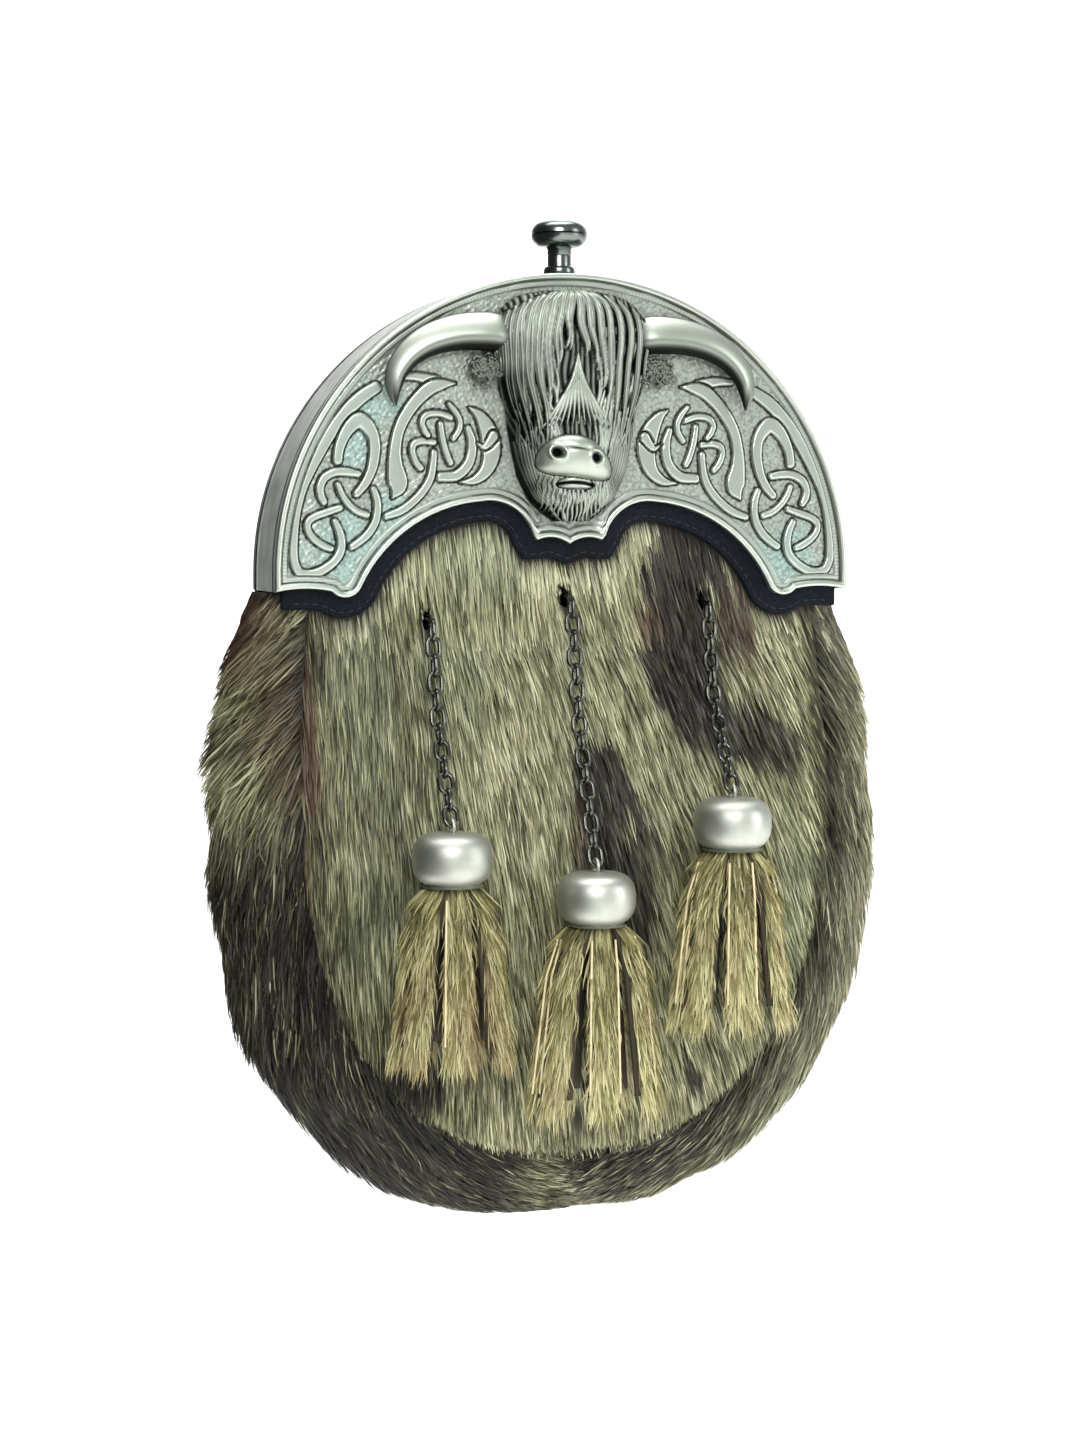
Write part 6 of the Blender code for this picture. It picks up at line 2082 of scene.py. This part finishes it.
    def markings(
        self, roots: Points, low: Points, which: Points, tone: Points, rng: Generator
    ) -> dict[str, Points]:
        """The hairs' own values.

        Args:
            roots: Their roots.
            low: 0 at the cap and 1 towards the hem.
            which: Number of each hair's strip.
            tone: A number that a clump of hairs shares.
            rng: Source of the random draws.

        Returns:
            The values: rusty towards the hem, and on the left tassel also along its inner side.
        """
        rust = 0.55 * smooth((value_noise(roots, 6 * MM, 113) - 0.25) / 0.4) * low
        if self.word == "left":
            inner = np.exp(-(((roots[:, 0] - self.x - 5 * MM) / (4 * MM)) ** 2))
            rust = np.maximum(rust, 0.9 * inner * smooth(low * 2 - 0.4))
        chance = rng.uniform(0, 1, len(roots))
        shade = 0.16 + 0.36 * tone + 0.52 * chance - 0.04 * (which % 3) + 0.3 * low
        return {
            "brown": np.clip(rust, 0, 1),
            "sage": np.zeros(len(roots)),
            "dark_coat": 0.35 * smooth((value_noise(roots, 5 * MM, 115) - 0.5) / 0.3),
            "shade": np.clip(shade, 0, 1),
        }

    def tassel(self, fur: Material, skin: Material, edge_skin: Material) -> None:
        """Strips of hide, some with a pale cut edge in sight, grown with short hair."""
        rng = np.random.default_rng({"left": 101, "centre": 102, "right": 103}[self.word])
        strips, edges = JoinedMesh(), JoinedMesh()
        groups = []
        for i in range(self.strips):
            angle = math.tau * (i + 0.25) / self.strips
            self.add_strip(strips, angle)
            for edge in self.bare_edges(i):
                run = np.linspace(0.10, 0.97, self.edge_points)
                line = self.strip_point(angle, run, np.full(self.edge_points, edge * 0.99), self.edge_out)
                edges.add_tube(line, np.full(self.edge_points, self.edge_radius), 6)
            groups.append(self.strip_hairs(angle, rng))
        finish_piece(strips.piece("strips_" + self.word, skin), replaced=("tassel_" + self.word,))
        finish_piece(edges.piece("cut_edges_" + self.word, edge_skin))
        roots, normals, ways = (np.vstack(group) for group in zip(*groups))
        count = len(roots)
        which = np.repeat(np.arange(self.strips), count // self.strips)
        lengths = self.hair_length * rng.uniform(0.6, 1.2, count)
        ways, tone = clump(roots, ways, lengths, self.clump_size, self.clump_pull, 111)
        hung = self.cap_z - self.cap_height / 2 - roots[:, 2]
        values = self.markings(roots, smooth(hung / (0.8 * self.hair)), which, tone, rng)
        lift = 0.36 * rng.uniform(0.4, 1.8, count) * (0.35 + 0.65 * smooth(hung / (7 * MM)))
        widths = self.hair_width * rng.uniform(0.7, 1.25, count)
        hairs = HairSet(roots, normals, ways, lengths, widths, lift, values, self.curl)
        finish_piece(hairs.grow("tassel_fur_" + self.word, fur, 120))


# Studio


@dataclass
class Studio:
    """Camera, soft lights and a pale sweep of background paper."""

    azimuth: float = math.radians(-16.7)
    elevation: float = math.radians(4.1)
    distance: float = 0.690
    focal_pixels: float = 2636.8
    frame_pixels: float = 1080.0
    aim: tuple = (-5.35 * MM, -20.0 * MM, -38.1 * MM)
    sensor: float = 36.0
    # Name, place, aim, width and height, and power in watts of each soft box
    boxes: tuple = (
        ("front_box", (-0.45, -1.5, 0.8), (0, -0.02, -0.03), (0.8, 0.8), 22.0),
        ("right_box", (1.3, -0.9, 0.35), (0, -0.02, -0.05), (0.5, 1.1), 9.0),
        ("top_box", (0.0, -0.1, 1.5), (0, 0.0, 0.0), (1.0, 0.8), 10.0),
        ("paper_box", (0.0, 0.25, 2.1), (0, 1.2, 0.0), (2.4, 0.8), 30.0),
        ("rear_box", (0.7, 1.1, 0.9), (0, 0.0, -0.05), (0.8, 0.8), 4.5),
    )
    # Where the paper starts and ends across, its floor, its wall and the radius of the curve between them
    paper_span: tuple = (-0.28, 3.0)
    floor: float = -0.30
    wall: float = 1.3
    bend: float = 0.5
    # Brightness that the metal mirrors, from the dark side of the room to the bright one
    room_glow: tuple = (0.08, 0.46)

    def camera(self) -> None:
        """The photograph's view of the pouch."""
        level = math.cos(self.elevation)
        ahead = Vector((-math.sin(self.azimuth) * level, math.cos(self.azimuth) * level, -math.sin(self.elevation)))
        data = bpy.data.cameras.new("studio_camera")
        data.sensor_fit = "HORIZONTAL"
        data.sensor_width = self.sensor
        data.lens = self.focal_pixels * self.sensor / self.frame_pixels
        data.clip_start, data.clip_end = 0.01, 20.0
        made = bpy.data.objects.new("studio_camera", data)
        bpy.context.scene.collection.objects.link(made)
        made.location = Vector(self.aim) - ahead * self.distance
        made.rotation_euler = ahead.to_track_quat("-Z", "Y").to_euler()
        bpy.context.scene.camera = made

    @staticmethod
    def light(name: str, place: tuple, aim: tuple, size: tuple, power: float) -> None:
        """A rectangular soft box.

        Args:
            name: Its name.
            place: Where it stands.
            aim: What it points at.
            size: Its width and height.
            power: Its power in watts.
        """
        data = bpy.data.lights.new(name, "AREA")
        data.shape = "RECTANGLE"
        data.size, data.size_y = size
        data.energy = power
        made = bpy.data.objects.new(name, data)
        bpy.context.scene.collection.objects.link(made)
        made.location = place
        made.rotation_euler = (Vector(aim) - Vector(place)).to_track_quat("-Z", "Y").to_euler()

    def sweep(self, finish: Material) -> None:
        """The floor and the wall behind, joined by a wide curve."""
        left, right = self.paper_span
        bm = bmesh.new()
        section = [(-1.8, self.floor)]
        for i in range(17):
            turn = math.pi / 2 * i / 16
            y = self.wall - self.bend + self.bend * math.sin(turn)
            section.append((y, self.floor + self.bend - self.bend * math.cos(turn)))
        section.append((self.wall, 3.0))
        points = [bm.verts.new((left, y, z)) for y, z in section]
        edges = [bm.edges.new(pair) for pair in zip(points, points[1:])]
        draw_out(bm, bmesh.ops.extrude_edge_only(bm, edges=edges)["geom"], (right - left, 0.0, 0.0))
        paper = from_bmesh(bm, "paper_sweep", finish, 60)

    def room(self) -> None:
        """A plain room, brighter to the right, that the camera itself sees as white."""
        world = bpy.data.worlds.new("studio_room")
        world.use_nodes = True
        tree = world.node_tree
        room = tree.nodes["Background"]
        room.inputs["Color"].default_value = linear("#E6E9E8")
        way, split = tree.nodes.new("ShaderNodeTexCoord"), tree.nodes.new("ShaderNodeSeparateXYZ")
        level = tree.nodes.new("ShaderNodeMapRange")
        for number, value in enumerate((-0.75, 0.15, *self.room_glow), start=1):
            level.inputs[number].default_value = value
        tree.links.new(way.outputs["Generated"], split.inputs[0])
        tree.links.new(split.outputs["X"], level.inputs[0])
        tree.links.new(level.outputs[0], room.inputs["Strength"])
        seen = tree.nodes.new("ShaderNodeBackground")
        seen.inputs["Color"].default_value = linear("#FFFFFF")
        ray, mix = tree.nodes.new("ShaderNodeLightPath"), tree.nodes.new("ShaderNodeMixShader")
        tree.links.new(ray.outputs["Is Camera Ray"], mix.inputs[0])
        tree.links.new(room.outputs[0], mix.inputs[1])
        tree.links.new(seen.outputs[0], mix.inputs[2])
        tree.links.new(mix.outputs[0], tree.nodes["World Output"].inputs["Surface"])
        bpy.context.scene.world = world

    def build(self, paper: Material) -> None:
        """Sets up the whole studio."""
        self.camera()
        self.sweep(paper)
        bpy.context.scene.view_settings.view_transform = "Standard"
        self.room()
        for box in self.boxes:
            self.light(*box)


def main() -> None:
    """Builds every piece in order."""
    logging.basicConfig(level=logging.INFO, format="%(message)s")
    form = PouchForm()
    pewter = CastPewter().material()
    head_pewter = CastPewter("cast_dark_pewter", "#BDC4B8", "#0F120F", "#BFE0D8", 0.5, 0.41).material()
    satin = SpunPewter("satin_pewter", "#8A9288", "#5A625A", 0.33).material()
    polished = SpunPewter("polished_pewter", "#7F8682", "#353A36", 0.18, 0.35).material()
    cap_metal = SpunPewter("spun_cap_pewter", "#C2C5BC", "#74736B", 0.45, 0.2).material()
    gunmetal = SpunPewter("blackened_steel_wire", "#666762", "#1C1C1A", 0.24, 0.6).material()
    apron = GrainLeather("navy_pebbled_leather", "#070F1E", "#03060B", 0.9, 0.6).material()
    navy_thread = WaxedThread("waxed_navy_thread", "#1A2133", "#0C1019").material()
    black = GrainLeather("black_bridle_leather", "#1E1C1D", "#0C0B0C", 1.3).material()
    thread = WaxedThread().material()
    skin = RawHide(pale="#2E2B1E", dark="#120E0C").material()
    strip_skin = RawHide("tassel_strip_hide", "#3A3020", "#1E1710").material()
    edge_skin = RawHide("cut_hide_edge", "#EBDDB4", "#D3B58A", "#D9C79A").material()
    coat_hair = AnimalHair(
        "coat_guard_hair", "#3B3B28", "#8B8A68", "#D2D2AE", "#0F0B09", "#403834", "#55342A", "#84997C"
    ).material()
    tassel_hair = AnimalHair(
        "tassel_blond_hair", "#443D20", "#878353", "#CFC998", "#43301F", "#8A6A4C", "#6B3B28", "#B9C29A"
    ).material()

    Studio().build(StudioPaper().material())
    CantlePlate(form).build(pewter)
    CowHead(form).build(head_pewter)
    knob = PressKnob(form)
    CantleBand(form).build(satin, knob.y)
    knob.build(polished)
    BackArch(form).build(satin)
    LeatherApron(form).build(apron, navy_thread)
    LeatherBack(form).build(black, thread)

    drops = [
        TasselDrop(form, "left", -37.0 * MM, -10.5 * MM, -70.0 * MM, 45.0 * MM, 16.0 * MM),
        TasselDrop(form, "centre", 0.0, -5.0 * MM, -81.0 * MM, 48.0 * MM, 18.0 * MM),
        TasselDrop(form, "right", 37.5 * MM, -6.5 * MM, -63.5 * MM, 45.0 * MM, 16.5 * MM),
    ]
    coat = Coat()
    FurFront(form, coat).build(coat_hair, skin, drops)
    FurGusset(form, coat).build(coat_hair, skin)
    for drop in drops:
        drop.chain(gunmetal)
        drop.cap(cap_metal)
        drop.tassel(tassel_hair, strip_skin, edge_skin)


if __name__ == "__main__":
    main()
